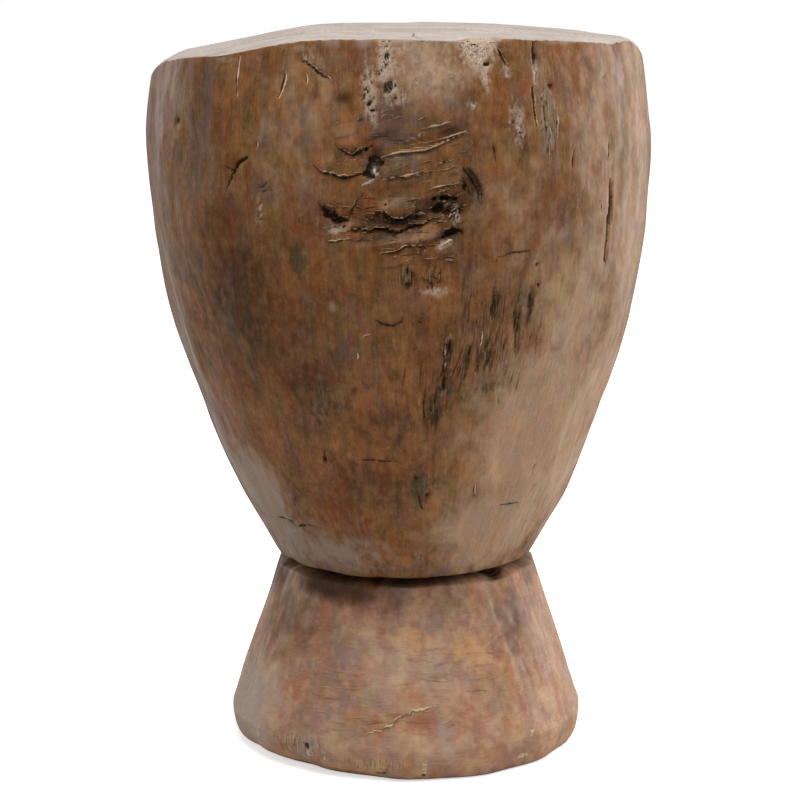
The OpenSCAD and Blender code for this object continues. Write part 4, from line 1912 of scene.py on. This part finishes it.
# The seat block's wall round and above the scar
UPPER_WALL: tuple[Mark, ...] = (
    *marks(Pitting, ((476, 47), (8, 11), -14, 16, (0.4, 1), 1.4, 1.5, 21),
        ((386, 60), (4.6, 17), 0, 16, (0.5, 1.1), 1.6, 1, 22),
        ((391, 88), (4.2, 9), 0, 7, (0.6, 1.4), 2, 0.8, 23),
        ((370, 92), (4.5, 15), -6, 14, (0.5, 1.1), 1.6, 0.85, 24)),
    *marks(Split, (((285, 69), (283, 80), (279, 92), (276, 100)), 1, 1.2, 2.2, 0.3),
        (((301, 60), (307, 64), (313, 67), (322, 74), (327, 79), (333, 83)), 1.8, 1.8, 0.8, 0.8)),
    *marks(Pitting, ((308, 59), (4, 3), 0, 8, (0.4, 0.8), 1, 0.6, 25)),
    *marks(Split, (((306, 72), (306, 88)), 0.7, 0.6, 0.9),
        (((498, 46), (503, 56), (508, 66)), 1.5, 2.2, 0.7, 0.2, 0.6)),
    *marks(Pitting, ((507, 72), (2.6, 3), 0, 7, (0.4, 0.8), 1, 0.9, 26)),
    *marks(Split, (((535, 38), (534, 50), (535, 62), (536, 72)), 1.5, 2.4)),
    *marks(Pitting, ((536, 73), (1.8, 6), 0, 9, (0.4, 0.8), 1.2, 1, 27)),
    *marks(Split, (((533, 80), (534, 95), (536, 112), (539, 128)), 1.3, 1.4, 0.7, 0.5),
        (((541, 84), (545, 110), (548, 135), (549, 158)), 0.8, 0.9, 0.7, 0.3),
        (((557, 96), (558, 120), (557, 142)), 0.7, 0.8, 0.6, 0.3)),
    *marks(TornGrain, ((549, 120), (5, 20), -4, 12, (0.2, 0.5), (6, 16), 0.4, 28, 0.4, 0.1, 0.6, 0.7)),
    *marks(Pitting, ((548, 120), (5, 24), 0, 16, (0.35, 0.7), 0.9, 0, 29),
        ((519, 123), (5.5, 13), -10, 30, (0.4, 0.9), 1.1, 0.55, 30),
        ((428, 70), (26, 20), 0, 44, (0.25, 0.55), 0.7, 0, 34)),
    *marks(Splinters, ((428, 70), (26, 18), 20, 26, (2.5, 7), (0.1, 0.35), 0.4, 63, FAINT)),
    *marks(Pitting, ((474, 105), (3, 3), 0, 6, (0.4, 0.7), 0.8, 0.6, 31)),
    *marks(Split, (((494, 142), (496, 152), (498, 163)), 1.2, 1.2),
        (((609, 135), (610, 148), (608, 162)), 1, 1), (((576, 146), (574, 158), (573, 170)), 0.9, 0.8),
        (((611, 178), (612, 195), (611, 212), (609, 228), (606, 248), (605, 268)), 3.2, 3, 0, 0.5, 0.4),
        (((602, 200), (603, 213)), 1.2, 1),
        (((247, 155), (244, 158), (237, 163), (231, 175), (227, 184), (225, 192)), 2, 2.4, 0, 0.3, 0.3),
        (((237, 53), (236, 75), (236, 99)), 0.9, 0.7, 1.3, 0.3), (((256, 140), (256, 150)), 0.8, 0.7, 0.6)),
    *marks(Pitting, ((264, 189), (5, 4.5), 0, 14, (0.4, 0.9), 1, 0, 32),
        ((259, 214), (2.4, 12), 4, 16, (0.4, 0.9), 1.2, 0.45, 33)),
    *marks(Split, (((235, 170), (222, 165)), 0.6, 0.5)),
    *spots(Dish, (477, 36, 6.5, 9, 1), (383, 75, 13, 30, 0.7), (218, 50, 16, 7, 1.6), (500, 41, 5, 5, 1.2),
        (612, 44, 12, 6, 1.8)),
    *tints(Tone.ROT, (485, 72, 2.6, 9, 0.9, -8), (430, 70, 26, 18, 0.26), (404, 50, 16, 8, 0.24)),
    *spots(Pit, (473.5, 41, 1.5, 1.5, 3), (487, 64.5, 1.6, 1, 3.4), (389, 88, 2.2, 3, 3.6),
        (386, 57, 1.6, 3, 3, 10), (369, 103, 1.5, 2.4, 2.6, 20), (372, 110, 2, 1.3, 2.4),
        (534, 57, 1.7, 1.9, 3), (552, 86, 1.5, 1.3, 1.6), (604.5, 76, 2.4, 1.2, 1.3, 10),
        (624, 70, 0.9, 1, 1.2), (176.5, 120, 1.6, 1.9, 3)),
    *tints(Tone.DARK, (500, 44, 2, 5, 0.6)),
    *tints(Tone.GREY, (385, 68, 2.2, 6, 1.2, -6), (300, 48, 12, 2, 0.8), (331, 43, 9, 2.6, 0.9),
        (361, 42, 6, 4, 0.9), (412, 41, 14, 3, 0.9), (442, 41, 10, 3, 0.8), (562, 42, 14, 1.6, 0.7),
        (222, 59, 14, 1.6, 0.6), (549, 118, 6.5, 27, 0.9, -6), (536, 66, 2.4, 9, 1)),
    *tints(Tone.LIGHT, (603, 73, 4, 1.2, 0.9, 10), (177, 127, 1.6, 3, 0.6)),
    *tints(Tone.GREEN, (297, 258, 4.3, 9.5, 1.7)),
)

# The seat block's wall below the scar, down to the neck
LOWER_WALL: tuple[Mark, ...] = (
    *marks(TornGrain, ((495, 308), (3.5, 9), 3, 7, (0.2, 0.9), (8, 18), 0.9, 41),
        ((517, 330), (3, 12), 2, 6, (0.2, 0.9), (10, 24), 0.9, 42),
        ((530, 305), (2.6, 9), 3, 6, (0.3, 0.9), (10, 22), 1, 49),
        ((448, 352), (3, 12), 4, 7, (0.3, 0.9), (8, 20), 1, 43, 0.45),
        ((444, 382), (3.5, 7), 8, 6, (0.3, 0.9), (6, 14), 1, 50, 0.45),
        ((466, 360), (2.6, 13), 9, 5, (0.2, 0.9), (10, 20), 0.9, 44),
        ((485, 363), (5, 12), 14, 9, (0.2, 0.9), (8, 18), 0.9, 45, 0.4),
        ((436, 410), (3.6, 9), 4, 7, (0.3, 1.1), (8, 16), 1, 46),
        ((490, 340), (36, 40), 7, 34, (0.1, 0.5), (8, 22), 0.5, 47, 0, 0.35, 0.28),
        ((425, 405), (20, 26), 2, 12, (0.1, 0.5), (8, 20), 0.4, 57, 0, 0.35, 0.2)),
    *marks(Split, (((532, 290), (531, 303), (529, 316)), 1.1, 1.6, 0, 0.4, 0.4, 0.6),
        (((515, 306), (515, 326), (516, 346)), 0.9, 1.4, 0, 0.4, 0.5, 0.5),
        (((425, 388), (424, 405), (425, 430)), 0.8, 1, 0, 0.3, 0.5, 0.5),
        (((482, 330), (481, 340), (480, 347)), 0.5, 0.6, 0.9, 0.3),
        (((478, 359), (476, 368), (474, 375)), 0.5, 0.6, 0.7, 0.3),
        (((450, 339), (449, 348), (448, 358)), 1.6, 1.8, 0, 0.4, 0.5, 0.8),
        (((446, 376), (444, 383), (443, 391)), 1.7, 1.8, 0.8, 0.4, 0.5, 0.8),
        (((374, 319), (382, 324), (392, 325.5), (402, 321), (401, 315)), 1.2, 1.2),
        (((417, 320), (423, 325)), 0.9, 0.9), (((496, 258), (515, 253), (535, 250)), 1, 0.7)),
    *marks(Pitting, ((334, 304), (3.5, 4), 0, 8, (0.4, 0.8), 0.8, 0, 48)),
    *marks(Split, (((363, 337), (371, 334)), 0.4, 0.4, 0.7, 0.2),
        (((357, 352), (357, 360)), 0.4, 0.4, 0.8, 0.2), (((323, 450), (324, 458)), 0.8, 0.8),
        (((356, 461), (370, 460.5), (385, 461), (399, 461)), 1.1, 1, 0, 0.3),
        (((275, 517), (283, 519), (290, 522), (296, 526), (305, 526), (318, 527)), 1.5, 1.8, 0, 0.25, 0.4),
        (((497, 507), (509, 505.5), (520, 502.5)), 1.2, 1.1, 0, 0.12, 0.6),
        (((536, 463), (534.5, 467), (532, 471)), 1, 1, 0, 0.1),
        (((475, 482), (473, 491), (476, 500)), 0.7, 0.6, 1, 0.3),
        (((417, 490), (419, 500), (422, 510)), 1.4, 1, 0, 0.4), (((500, 405), (498, 398)), 0.6, 0.5)),
    *tints(Tone.GREEN, (495, 308, 3.6, 10, 0.75), (519, 312, 5, 13, 0.5), (466, 362, 2.4, 12, 0.7, 8),
        (437, 412, 4.4, 8, 0.9), (448, 356, 4, 14, 0.6, 5), (531, 305, 3, 11, 0.5), (488, 388, 8, 3, 0.8),
        (443, 391, 6, 3, 0.7), (421, 484, 6.5, 10.5, 1.1)),
    *tints(Tone.DARK, (531, 304, 3, 10, 0.5), (448, 356, 4, 14, 0.6, 6), (498, 306, 4, 11, 0.35),
        (519, 318, 5, 15, 0.35), (466, 362, 3, 14, 0.5, 8), (438, 408, 5, 12, 0.6),
        (485, 370, 7, 10, 0.4, 14)),
    *tints(Tone.RED, (482, 368, 3, 10, 0.8, 16)),
    *spots(Pit, (540, 285, 1.2, 1.3, 1.8), (538, 265, 0.9, 1.1, 1.4), (497, 261, 1, 1.1, 1.4),
        (408, 284, 1.4, 1.1, 1.6), (431, 284, 1.2, 0.9, 1.4), (200, 379, 1.2, 3.8, 2, -14),
        (324, 460, 1.5, 1.6, 2.6), (291, 524, 1.4, 1.2, 1.8), (416, 479, 1.2, 2, 1.6, -20),
        (427, 495, 2.2, 1.2, 1.8), (423, 478, 2.4, 0.9, 1.2)),
    *tints(Tone.LIGHT, (439, 295, 5, 3, 0.9), (332, 307, 2.6, 3.6, 0.7), (426, 480, 3, 5, 0.45)),
    *spots(Dish, (422, 484, 6, 10, 1), (304, 500, 16, 18, -0.5)),
    *tints(Tone.ORANGE, (432, 505, 5, 7, 0.9)),
)

# The seat block's broad patches of colour, with painted light and shade and a painted grey sheen, and the
# long flat at its left
SEAT_TONES: tuple[Mark, ...] = (
    Flat(((191, 200), (191, 300), (190, 380)), 11, 0.8),
    # Painted shade beside the arris of the flat at the lower left
    *marks(Ledge,
        (((288, 524), (292, 512), (294.5, 498), (291, 486), (282, 474)),
         0.5, 7, 0.2, NO_LINE, 0, 0.6, 0.3)),
    *tints(Tone.PURPLE, (208, 92, 5, 30, 0.9), (195, 165, 5, 18, 0.7), (265, 190, 6, 6, 0.9),
        (300, 130, 14, 20, 0.4), (352, 330, 10, 9, 0.5), (345, 352, 9, 6, 0.6), (486, 515, 18, 16, 0.6),
        (560, 235, 14, 14, 0.4), (320, 562, 34, 10, 0.8), (440, 566, 40, 9, 0.6), (418, 56, 8, 6, 0.6),
        (452, 92, 9, 10, 0.5)),
    *tints(Tone.RED, (229, 230, 6, 15, 0.9), (246, 175, 5, 14, 0.45), (382, 478, 9, 11, 1),
        (348, 505, 22, 26, 0.5), (560, 183, 8, 10, 0.55), (641, 230, 3, 4, 0.8), (335, 378, 6, 6, 0.7),
        (420, 250, 9, 6, 0.5), (407, 66, 5, 10, 0.6), (436, 102, 12, 6, 0.5), (346, 60, 14, 12, 0.4)),
    *tints(Tone.ORANGE, (365, 440, 22, 30, 0.6), (395, 395, 26, 26, 0.45), (405, 562, 26, 6, 0.6),
        (470, 470, 12, 18, 0.4), (365, 402, 9, 14, 0.8), (452, 300, 16, 10, 0.4), (300, 115, 28, 36, 0.4)),
    *tints(Tone.GREEN, (320, 398, 9, 26, 0.5), (250, 330, 16, 26, 0.3), (425, 560, 12, 10, 0.3),
        (415, 170, 20, 8, 0.3)),
    # Mostly a painted grey sheen down the left edge and at the lower left
    *tints(Tone.GREY, (258, 488, 26, 26, 1.35, -14), (284, 534, 32, 26, 1.1), (330, 552, 40, 14, 0.9),
        (260, 141, 4, 12, 0.6), (184, 335, 14, 90, 0.95), (214, 430, 17, 70, 1), (318, 405, 8, 14, 0.45)),
    # Painted shade on the left and the low middle
    *tints(Tone.DARK, (235, 300, 38, 60, 0.72), (300, 370, 34, 50, 0.5), (372, 430, 26, 22, 0.5),
        (376, 487, 24, 20, 0.55), (200, 120, 18, 40, 0.4), (156, 150, 9, 70, 0.4), (350, 490, 26, 30, 0.35),
        (420, 215, 60, 50, 0.15), (168, 190, 8, 50, 0.3)),
    # Painted light on the right, the low right and above the scar, with wear
    *tints(Tone.LIGHT, (428, 68, 28, 24, 0.9), (285, 150, 26, 34, 0.4), (348, 126, 8, 12, 0.3),
        (325, 158, 9, 10, 0.3), (515, 210, 30, 50, 0.4), (540, 120, 40, 60, 0.2), (600, 130, 40, 70, 0.5),
        (636, 230, 28, 130, 0.75), (575, 310, 40, 60, 0.9), (618, 310, 16, 30, 0.6),
        (535, 430, 44, 60, 1.55), (575, 405, 20, 26, 1), (535, 374, 9, 7, 1.2), (516, 405, 8, 6, 1.2),
        (500, 525, 44, 34, 1.5), (300, 110, 30, 40, 0.45), (395, 290, 30, 20, 0.1),
        (590, 395, 40, 50, 1, 14), (558, 475, 40, 44, 1.1, 24), (262, 492, 22, 26, 0.8),
        (185, 340, 14, 60, 0.15)),
)

# The seat block's back, which the photograph doesn't show
BACK_MARKS: tuple[Mark, ...] = (
    *charted(Where.WALL,
        *marks(Split, (((96, 430), (97, 395), (95, 350), (97, 300)), 2.6, 3, 0.8, 0.5, 0.4),
            (((150, 380), (151, 340), (149, 300)), 2, 2.4, 0, 0.5),
            (((40, 250), (41, 215), (43, 190)), 1.8, 2, 0, 0.5),
            (((71, 348), (72, 325), (70, 308)), 2.6, 2.2, 0, 0.6, 0.4),
            (((65, 338), (66, 318)), 2, 1.8, 0, 0.5),
            (((170, 262), (171, 245), (169, 230)), 2.4, 2, 0, 0.6, 0.4)),
        *marks(Ledge, (((112, 300), (118, 296), (125, 297), (131, 303)), 1.5, 4, 0.4, 1.4, 0.9)),
        *spots(Dish, (121, 290, 22, 14, 1.2), (70, 326, 14, 22, 1)),
        *tints(Tone.TORN, (69, 328, 14, 28, 0.45, 4), (170, 244, 12, 22, 0.45, -5),
            (112, 380, 9, 20, 0.35)),
        *tints(Tone.ROT, (30, 408, 6, 13, 0.9), (128, 424, 4, 16, 0.8)),
        *tints(Tone.RED, (60, 210, 26, 30, 0.7), (155, 330, 24, 30, 0.6), (105, 250, 14, 24, 0.6)),
        *tints(Tone.ORANGE, (140, 240, 30, 40, 0.6), (85, 300, 24, 30, 0.4), (25, 230, 24, 30, 0.4)),
        *tints(Tone.PURPLE, (100, 385, 34, 30, 0.7), (48, 350, 20, 34, 0.6), (172, 400, 16, 26, 0.6)),
        *tints(Tone.LIGHT, (20, 300, 30, 60, 0.6), (54, 290, 30, 70, 0.45), (120, 350, 36, 60, 0.4),
            (82, 150, 50, 24, 0.5), (140, 160, 40, 26, 0.5), (170, 420, 40, 24, 0.4), (6, 215, 46, 56, 0.8),
            (26, 200, 46, 56, 0.45), (6, 390, 36, 40, 0.4)),
        # Painted grey sheen bands
        *tints(Tone.GREY, (145, 270, 12, 80, 0.6), (108, 180, 14, 40, 0.6), (38, 180, 14, 40, 0.6),
            (72, 400, 10, 40, 0.5)),
        *tints(Tone.DARK, (85, 230, 34, 60, 0.6), (160, 300, 40, 60, 0.6), (182, 220, 34, 60, 0.55),
            (40, 420, 44, 24, 0.4), (110, 425, 50, 22, 0.5), (125, 200, 30, 40, 0.5),
            (185, 400, 40, 40, 0.4), (70, 330, 20, 34, 0.5), (10, 200, 30, 40, 0.3))),
)

# The checks and the rotten place in the top
TOP_MARKS: tuple[Mark, ...] = (
    *charted(Where.PLAN,
        *marks(Split, (((4, 6), (30, 22), (70, 44), (118, 80)), 1.6, 2.2, 0, 0.5, 0.7),
            (((-6, 2), (-40, -14), (-92, -22), (-132, -40)), 1.4, 2, 0, 0.5, 0.7),
            (((2, -8), (10, -46), (8, -88), (14, -128)), 1.2, 1.8, 0, 0.5, 0.7),
            (((-4, 10), (-24, 50), (-58, 104)), 1.2, 1.8, 0, 0.5, 0.7),
            (((12, -2), (62, -30), (110, -44)), 0.9, 1.4, 0, 0.5, 0.6)),
        *spots(Dish, (20, 10, 70, 60, 0.8)),
        *tints(Tone.ROT, (45, -124, 8, 24, 1.3, -19))),
)

# The foot block, front and back, with a painted shadow under the seat block along the neck
FOOT_MARKS: tuple[Mark, ...] = (
    *marks(Split, (((488, 572), (500, 569), (512, 565)), 1.2, 1)),
    *marks(Ledge,
        (((364, 736), (373, 733), (380, 730), (392, 727), (397, 720), (404, 715), (416, 711), (427, 708),
         (440, 706)), 0.9, 6, 0.5, 0.4, 1.3, 0.3, 1),
        (((482, 652), (490, 645), (499, 637), (511, 631)), 0.6, 4, 0.3, NO_LINE, 0)),
    *marks(TornGrain, ((300, 748), (22, 9), 0, 22, (0.1, 0.4), (3, 9), 0.3, 91, 0.5, 0.15, 0.35, 0.5),
        ((375, 765), (20, 5), 0, 12, (0.1, 0.4), (3, 7), 0.3, 92, 0.5, 0.15, 0.3, 0.5)),
    *marks(Splinters, ((450, 672), (34, 16), -2, 26, (6, 20), (0.05, 0.14), 0.25, 94, FAINT),
        ((420, 722), (34, 9), 6, 16, (6, 18), (0.06, 0.2), 0.35, 95, FAINT),
        ((340, 700), (30, 20), 4, 18, (5, 14), (0.05, 0.14), 0.25, 96, FAINT)),
    *charted(Where.WALL,
        *marks(Split, (((97, 20), (98, 60), (96, 95)), 1.8, 2, 0, 0.5, 0.4),
            (((30, 15), (31, 50)), 1.4, 1.6, 0, 0.5, 0.4)),
        *marks(Ledge, (((150, 40), (160, 44), (170, 41)), 1, 5, 0.4, 0.9, 1.2)),
        *tints(Tone.ORANGE, (120, 60, 30, 24, 0.7), (20, 70, 20, 16, 0.6)),
        *tints(Tone.PURPLE, (60, 80, 24, 18, 0.7), (160, 40, 24, 18, 0.6)),
        # Grey weathering, with a painted sheen on the left corner
        *tints(Tone.GREY, (10, 40, 20, 20, 0.6), (85, 24, 30, 10, 0.7), (196, 28, 34, 28, 1.3)),
        *tints(Tone.ROT, (60, 10, 16, 4, 0.6), (142, 9, 10, 4, 0.6)),
        # Painted shadow under the seat block round the neck, and darker patches
        *tints(Tone.DARK, (60, 112, 70, 12, 0.9), (140, 112, 70, 12, 0.9), (0, 112, 40, 10, 0.7),
            (180, 108, 40, 16, 0.9), (100, 70, 30, 24, 0.4), (170, 60, 24, 30, 0.4))),
    *spots(Dish, (490, 570, 9, 3.6, 2.2, -24), (497, 645, 10, 8, 0.6, -36)),
    # Painted shadow under the seat block along the neck, and painted shade in the notch, the crease and
    # under the ledge
    *tints(Tone.DARK, (490, 570, 10, 4, 1, -24), (335, 586, 46, 12, 1.15), (405, 584, 50, 8, 1),
        (290, 612, 36, 34, 0.6), (400, 598, 90, 16, 0.5), (510, 600, 34, 20, 0.45),
        (516, 628, 24, 34, 0.55), (497, 642, 11, 2.4, 0.5, -36), (420, 722, 12, 5, 0.4)),
    *tints(Tone.RED, (418, 720, 14, 6, 0.9), (350, 612, 30, 8, 0.6), (300, 690, 14, 10, 0.5),
        (470, 715, 16, 8, 0.5)),
    # Grey weathering, with a painted sheen at the left corner
    *tints(Tone.GREY, (446, 738, 8, 14, 0.6), (312, 745, 26, 9, 0.6), (262, 735, 14, 9, 0.8),
        (560, 650, 10, 30, 0.4)),
    *tints(Tone.ORANGE, (472, 654, 14, 9, 1), (410, 640, 18, 8, 0.6), (395, 765, 20, 5, 0.5)),
    *tints(Tone.PURPLE, (495, 642, 8, 4, 0.9), (345, 700, 14, 10, 0.7), (340, 655, 18, 18, 0.6),
        (450, 620, 30, 8, 0.5), (335, 725, 20, 8, 0.5)),
    *spots(Pit, (306, 747, 1.8, 2, 2.4), (380, 774, 3, 1.4, 1.6), (424, 776, 1.6, 2, 1.8)),
    *tints(Tone.ROT, (309, 753, 3, 2.6, 0.7), (257, 735, 2, 6, 0.6), (533, 732, 3, 2, 0.6),
        (522, 756, 5, 1.8, 0.6), (425, 768, 1.6, 5, 0.8)),
    # Wear, with painted light on the middle and a painted sheen on the left corner
    *tints(Tone.LIGHT, (548, 700, 14, 30, 0.3), (240, 706, 20, 24, 1.9), (405, 668, 34, 22, 0.85),
        (470, 660, 16, 14, 0.4), (430, 740, 40, 12, 0.4)),
)

SEAT_MARKS = KNOT_SCAR + UPPER_WALL + LOWER_WALL + SEAT_TONES + BACK_MARKS + TOP_MARKS


@dataclass(frozen=True)
class Lamp:
    """One soft lamp: where it stands, what it points at, its side and its power in watts."""

    name: str
    place: tuple[float, float, float]
    side: float
    watts: float
    aim: tuple[float, float, float] = (0.0, 0.0, 0.24)

    def build(self) -> None:
        """Makes the lamp."""
        data = bpy.data.lights.new(self.name, "AREA")
        data.size = self.side
        data.energy = self.watts
        lamp = bpy.data.objects.new(self.name, data)
        lamp.location = self.place
        towards = Vector(self.aim) - Vector(self.place)
        lamp.rotation_euler = towards.to_track_quat("-Z", "Y").to_euler()
        bpy.context.scene.collection.objects.link(lamp)


@dataclass(frozen=True)
class Studio:
    """The white studio: a matt floor that keeps the shadow, a white surround and soft lamps."""

    floor_side: float = 12.0
    floor_colour: str = "#f0efee"
    floor_glow: float = 0.62
    # The glow is full beyond the second of these distances from the stool, in metres
    glow_reach: Point = (0.2, 0.9)
    surround_light: float = 0.20
    lamps: tuple[Lamp, ...] = (
        Lamp("top_lamp", (0.1, -0.6, 2.0), 1.5, 44.0),
        Lamp("right_lamp", (1.6, 0.75, 0.6), 1.2, 27.0),
        Lamp("left_lamp", (-1.5, 1.0, 0.35), 1.2, 8.5),
    )

    def build(self) -> None:
        """Makes the floor, the surround and the lamps, and sets the plain view."""
        half = self.floor_side / 2
        mesh = bpy.data.meshes.new("studio_floor")
        corners = [(-half, -half, 0), (half, -half, 0), (half, half, 0), (-half, half, 0)]
        mesh.from_pydata(corners, [], [(0, 1, 2, 3)])
        mesh.materials.append(self.floor_material())
        floor = bpy.data.objects.new("studio_floor", mesh)
        bpy.context.scene.collection.objects.link(floor)
        self.surround()
        for lamp in self.lamps:
            lamp.build()
        bpy.context.scene.view_settings.view_transform = "Standard"

    def floor_material(self) -> bpy.types.Material:
        """Builds matt white paper that glows only to the camera, so it is white but for the shadow.

        Returns:
            The material.
        """
        material = bpy.data.materials.new("white_paper")
        nodes = Nodes(material)
        place = nodes.add("TexCoord", out="Object")
        away = nodes.add("VectorMath", {0: place}, "Value", operation="LENGTH")
        near, far = self.glow_reach
        glow = nodes.add("MapRange", {
            "Value": away, "From Min": near, "From Max": far, "To Min": self.floor_glow, "To Max": 1.0})
        seen = nodes.add("LightPath", out="Is Camera Ray")
        strength = nodes.add("Math", {0: seen, 1: glow}, operation="MULTIPLY")
        paper = nodes.add("BsdfDiffuse", {"Color": linear(self.floor_colour)})
        both = nodes.add("AddShader", {0: paper, 1: nodes.add("Emission", {"Strength": strength})})
        nodes.add("OutputMaterial", {"Surface": both})
        return material

    def surround(self) -> None:
        """Makes the world: white to the camera and in reflections, dimmer as a light."""
        world = bpy.data.worlds.new("white_surround")
        bpy.context.scene.world = world
        nodes = Nodes(world)
        seen: object = 0.0
        for ray in ("Camera", "Glossy", "Transmission"):
            path = nodes.add("LightPath", out=f"Is {ray} Ray")
            seen = nodes.add("Math", {0: seen, 1: path}, operation="MAXIMUM")
        strength = nodes.add("MapRange", {"Value": seen, "To Min": self.surround_light, "To Max": 1.0})
        sky = nodes.add("Background", {"Color": linear("#ffffff"), "Strength": strength})
        nodes.add("OutputWorld", {"Surface": sky})


SEAT_FINISH = HewnHardwood(
    "oiled_hardwood_dark", "#654323",
    (
        *layers(Run.SOLID, ("#4a301a", 50, 62, 0.5, 0.14, 0.6), ("#80582e", 34, 42, 0.52, 0.12, 0.6),
            ("#773a1b", 29, 35, 0.54, 0.1, 0.6), ("#5a4820", 24, 30, 0.55, 0.09, 0.6),
            ("#66483e", 19, 24, 0.56, 0.09, 0.6), ("#946c3c", 14, 18, 0.56, 0.1, 0.45),
            ("#412812", 11, 14, 0.56, 0.1, 0.34), ("#84471f", 9, 11, 0.57, 0.1, 0.46),
            ("#9a764e", 6, 8, 0.56, 0.1, 0.24), ("#40280f", 5, 6.5, 0.57, 0.1, 0.22),
            ("#a07c56", 2.6, 3.4, 0.58, 0.1, 0.16)),
        *layers(Run.UPRIGHT, ("#4a2f17", 3.2, 46, 0.54, 0.1, 0.2), ("#874f2b", 4.2, 52, 0.54, 0.1, 0.24)),
        *layers(Run.SOLID, ("#3c2611", 2.2, 3, 0.58, 0.1, 0.16),
            ("#6f3417", 5, 8, 0.5, 0.4, 0.65, Tone.RED), ("#965f33", 5, 9, 0.5, 0.4, 0.6, Tone.ORANGE),
            ("#5f4a42", 5, 8, 0.5, 0.4, 0.8, Tone.PURPLE),
            # Wear with painted light, and grey weathering with a painted sheen
            ("#8d7a66", 9, 13, 0.55, 0.55, 0.85, Tone.LIGHT, 1.2, Blend.BLEACH),
            ("#8b7c6e", 5, 9, 0.55, 0.5, 0.74, Tone.GREY, 1.5)),
        *layers(Run.UPRIGHT, ("#353725", 2.5, 5, 0.5, 0.36, 0.7, Tone.GREEN),
            ("#33240f", 0.9, 12, 0.55, 0.4, 0.75, Tone.TORN),
            ("#a9855c", 0.7, 8, 0.66, 0.34, 0.5, Tone.TORN)),
        *layers(Run.SOLID, ("#a8927e", 2.4, 4, 0.4, 0.4, 0.9, Tone.ROT, 2)),
        *layers(Run.UPRIGHT, ("#3d2913", 1.1, 18, 0.56, 0.1, 0.13), ("#a27c54", 1, 14, 0.57, 0.1, 0.11)),
        *layers(Run.SOLID, ("#2a1b0c", 1.2, 1.7, 0.66, 0.05, 0.26), ("#b5956f", 0.9, 1.3, 0.67, 0.05, 0.18),
            # Grime with painted shade
            ("#5b4939", 6, 10, 0.55, 0.55, 0.8, Tone.DARK, 1, Blend.DARKEN)),
    ),
    (Relief(11, 14, 0.75), Relief(4.5, 6, 0.26), Relief(1.6, 2.2, 0.08), Relief(1, 8, 0.05)),
    pale_wood_and_highlight="#d2b696", crumb="#c9b8a6", split_dirt_and_shade="#22160b",
    top_layers=(
        *layers(Run.SOLID, ("#8d8077", 34, 34, 0.5, 0.14, 0.5), ("#b6aaa1", 18, 18, 0.55, 0.14, 0.5),
            ("#95867a", 7, 7, 0.56, 0.1, 0.35), ("#7f7066", 2.2, 2.2, 0.6, 0.08, 0.4)),
    ))

FOOT_FINISH = HewnHardwood(
    "worn_hardwood_pale", "#ae886d",
    (
        *layers(Run.ROUND, ("#80604b", 44, 55, 0.5, 0.13, 0.6), ("#bb9569", 30, 38, 0.53, 0.11, 0.6),
            ("#8e6f6b", 22, 28, 0.54, 0.1, 0.6), ("#a56a45", 19, 24, 0.55, 0.1, 0.55),
            ("#8b7d5f", 15, 20, 0.56, 0.1, 0.45), ("#955c4b", 11, 15, 0.57, 0.1, 0.4),
            ("#c3a184", 8, 12, 0.57, 0.1, 0.32), ("#74543f", 6, 9, 0.58, 0.1, 0.26),
            ("#9a5a42", 5, 9, 0.5, 0.4, 0.5, Tone.RED), ("#c0935f", 5, 9, 0.5, 0.4, 0.6, Tone.ORANGE),
            ("#84696a", 5, 9, 0.5, 0.4, 0.55, Tone.PURPLE),
            # Wear with painted light, and grey weathering with a painted sheen
            ("#6f655c", 9, 13, 0.55, 0.55, 0.8, Tone.LIGHT, 1.2, Blend.BLEACH),
            ("#a09185", 5, 8, 0.55, 0.5, 0.85, Tone.GREY, 1.6)),
        *layers(Run.UPRIGHT, ("#4f3a28", 0.9, 8, 0.55, 0.4, 0.55, Tone.TORN),
            ("#d6bd99", 0.8, 6, 0.58, 0.34, 0.6, Tone.TORN)),
        *layers(Run.ROUND, ("#cbb999", 1.6, 2.4, 0.55, 0.4, 0.85, Tone.ROT),
            ("#63462f", 1, 10, 0.6, 0.1, 0.16), ("#c9ab8c", 1, 8, 0.61, 0.1, 0.14),
            ("#54392a", 1.2, 1.6, 0.7, 0.05, 0.2),
            # Grime with painted shade
            ("#4f3e30", 10, 14, 0.55, 0.55, 0.92, Tone.DARK, 0.8, Blend.DARKEN)),
    ),
    (Relief(11, 15, 0.6, Run.ROUND), Relief(4.5, 7, 0.18, Run.ROUND), Relief(1.4, 3, 0.05, Run.ROUND)),
    pale_wood_and_highlight="#dcc4a6", crumb="#cdb9a0", split_dirt_and_shade="#33221a", roughness=0.55)


SEAT_FACETS = AdzeFacets(seed=3, around=13, rise_mm=58.0, tilt_deg=1.1, step_mm=0.35, soft_mm=15.0)
FOOT_FACETS = AdzeFacets(seed=4, around=13, rise_mm=40.0, tilt_deg=0.75, step_mm=0.3, soft_mm=14.0)


def main() -> None:
    """Builds the stool and its surroundings in order."""
    logging.basicConfig(level=logging.INFO, format="%(name)s: %(message)s")
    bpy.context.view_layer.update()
    CAMERA.place()
    blocks = (
        SeatBlock("seat_block", "seat_wood", SeatForm(), SEAT_FINISH, SEAT_MARKS, columns=400,
                  wall_rings=206, facets=SEAT_FACETS, dent_mm=0.28, density=0.42, bands=SEAT_BANDS),
        FootBlock("foot_block", "foot_wood", FootForm(), FOOT_FINISH, FOOT_MARKS, columns=400,
                  wall_rings=200, facets=FOOT_FACETS, dent_mm=0.25, density=1.0, bands=FOOT_BANDS))
    for block in blocks:
        piece = block.build()
    Studio().build()


if __name__ == "__main__":
    main()
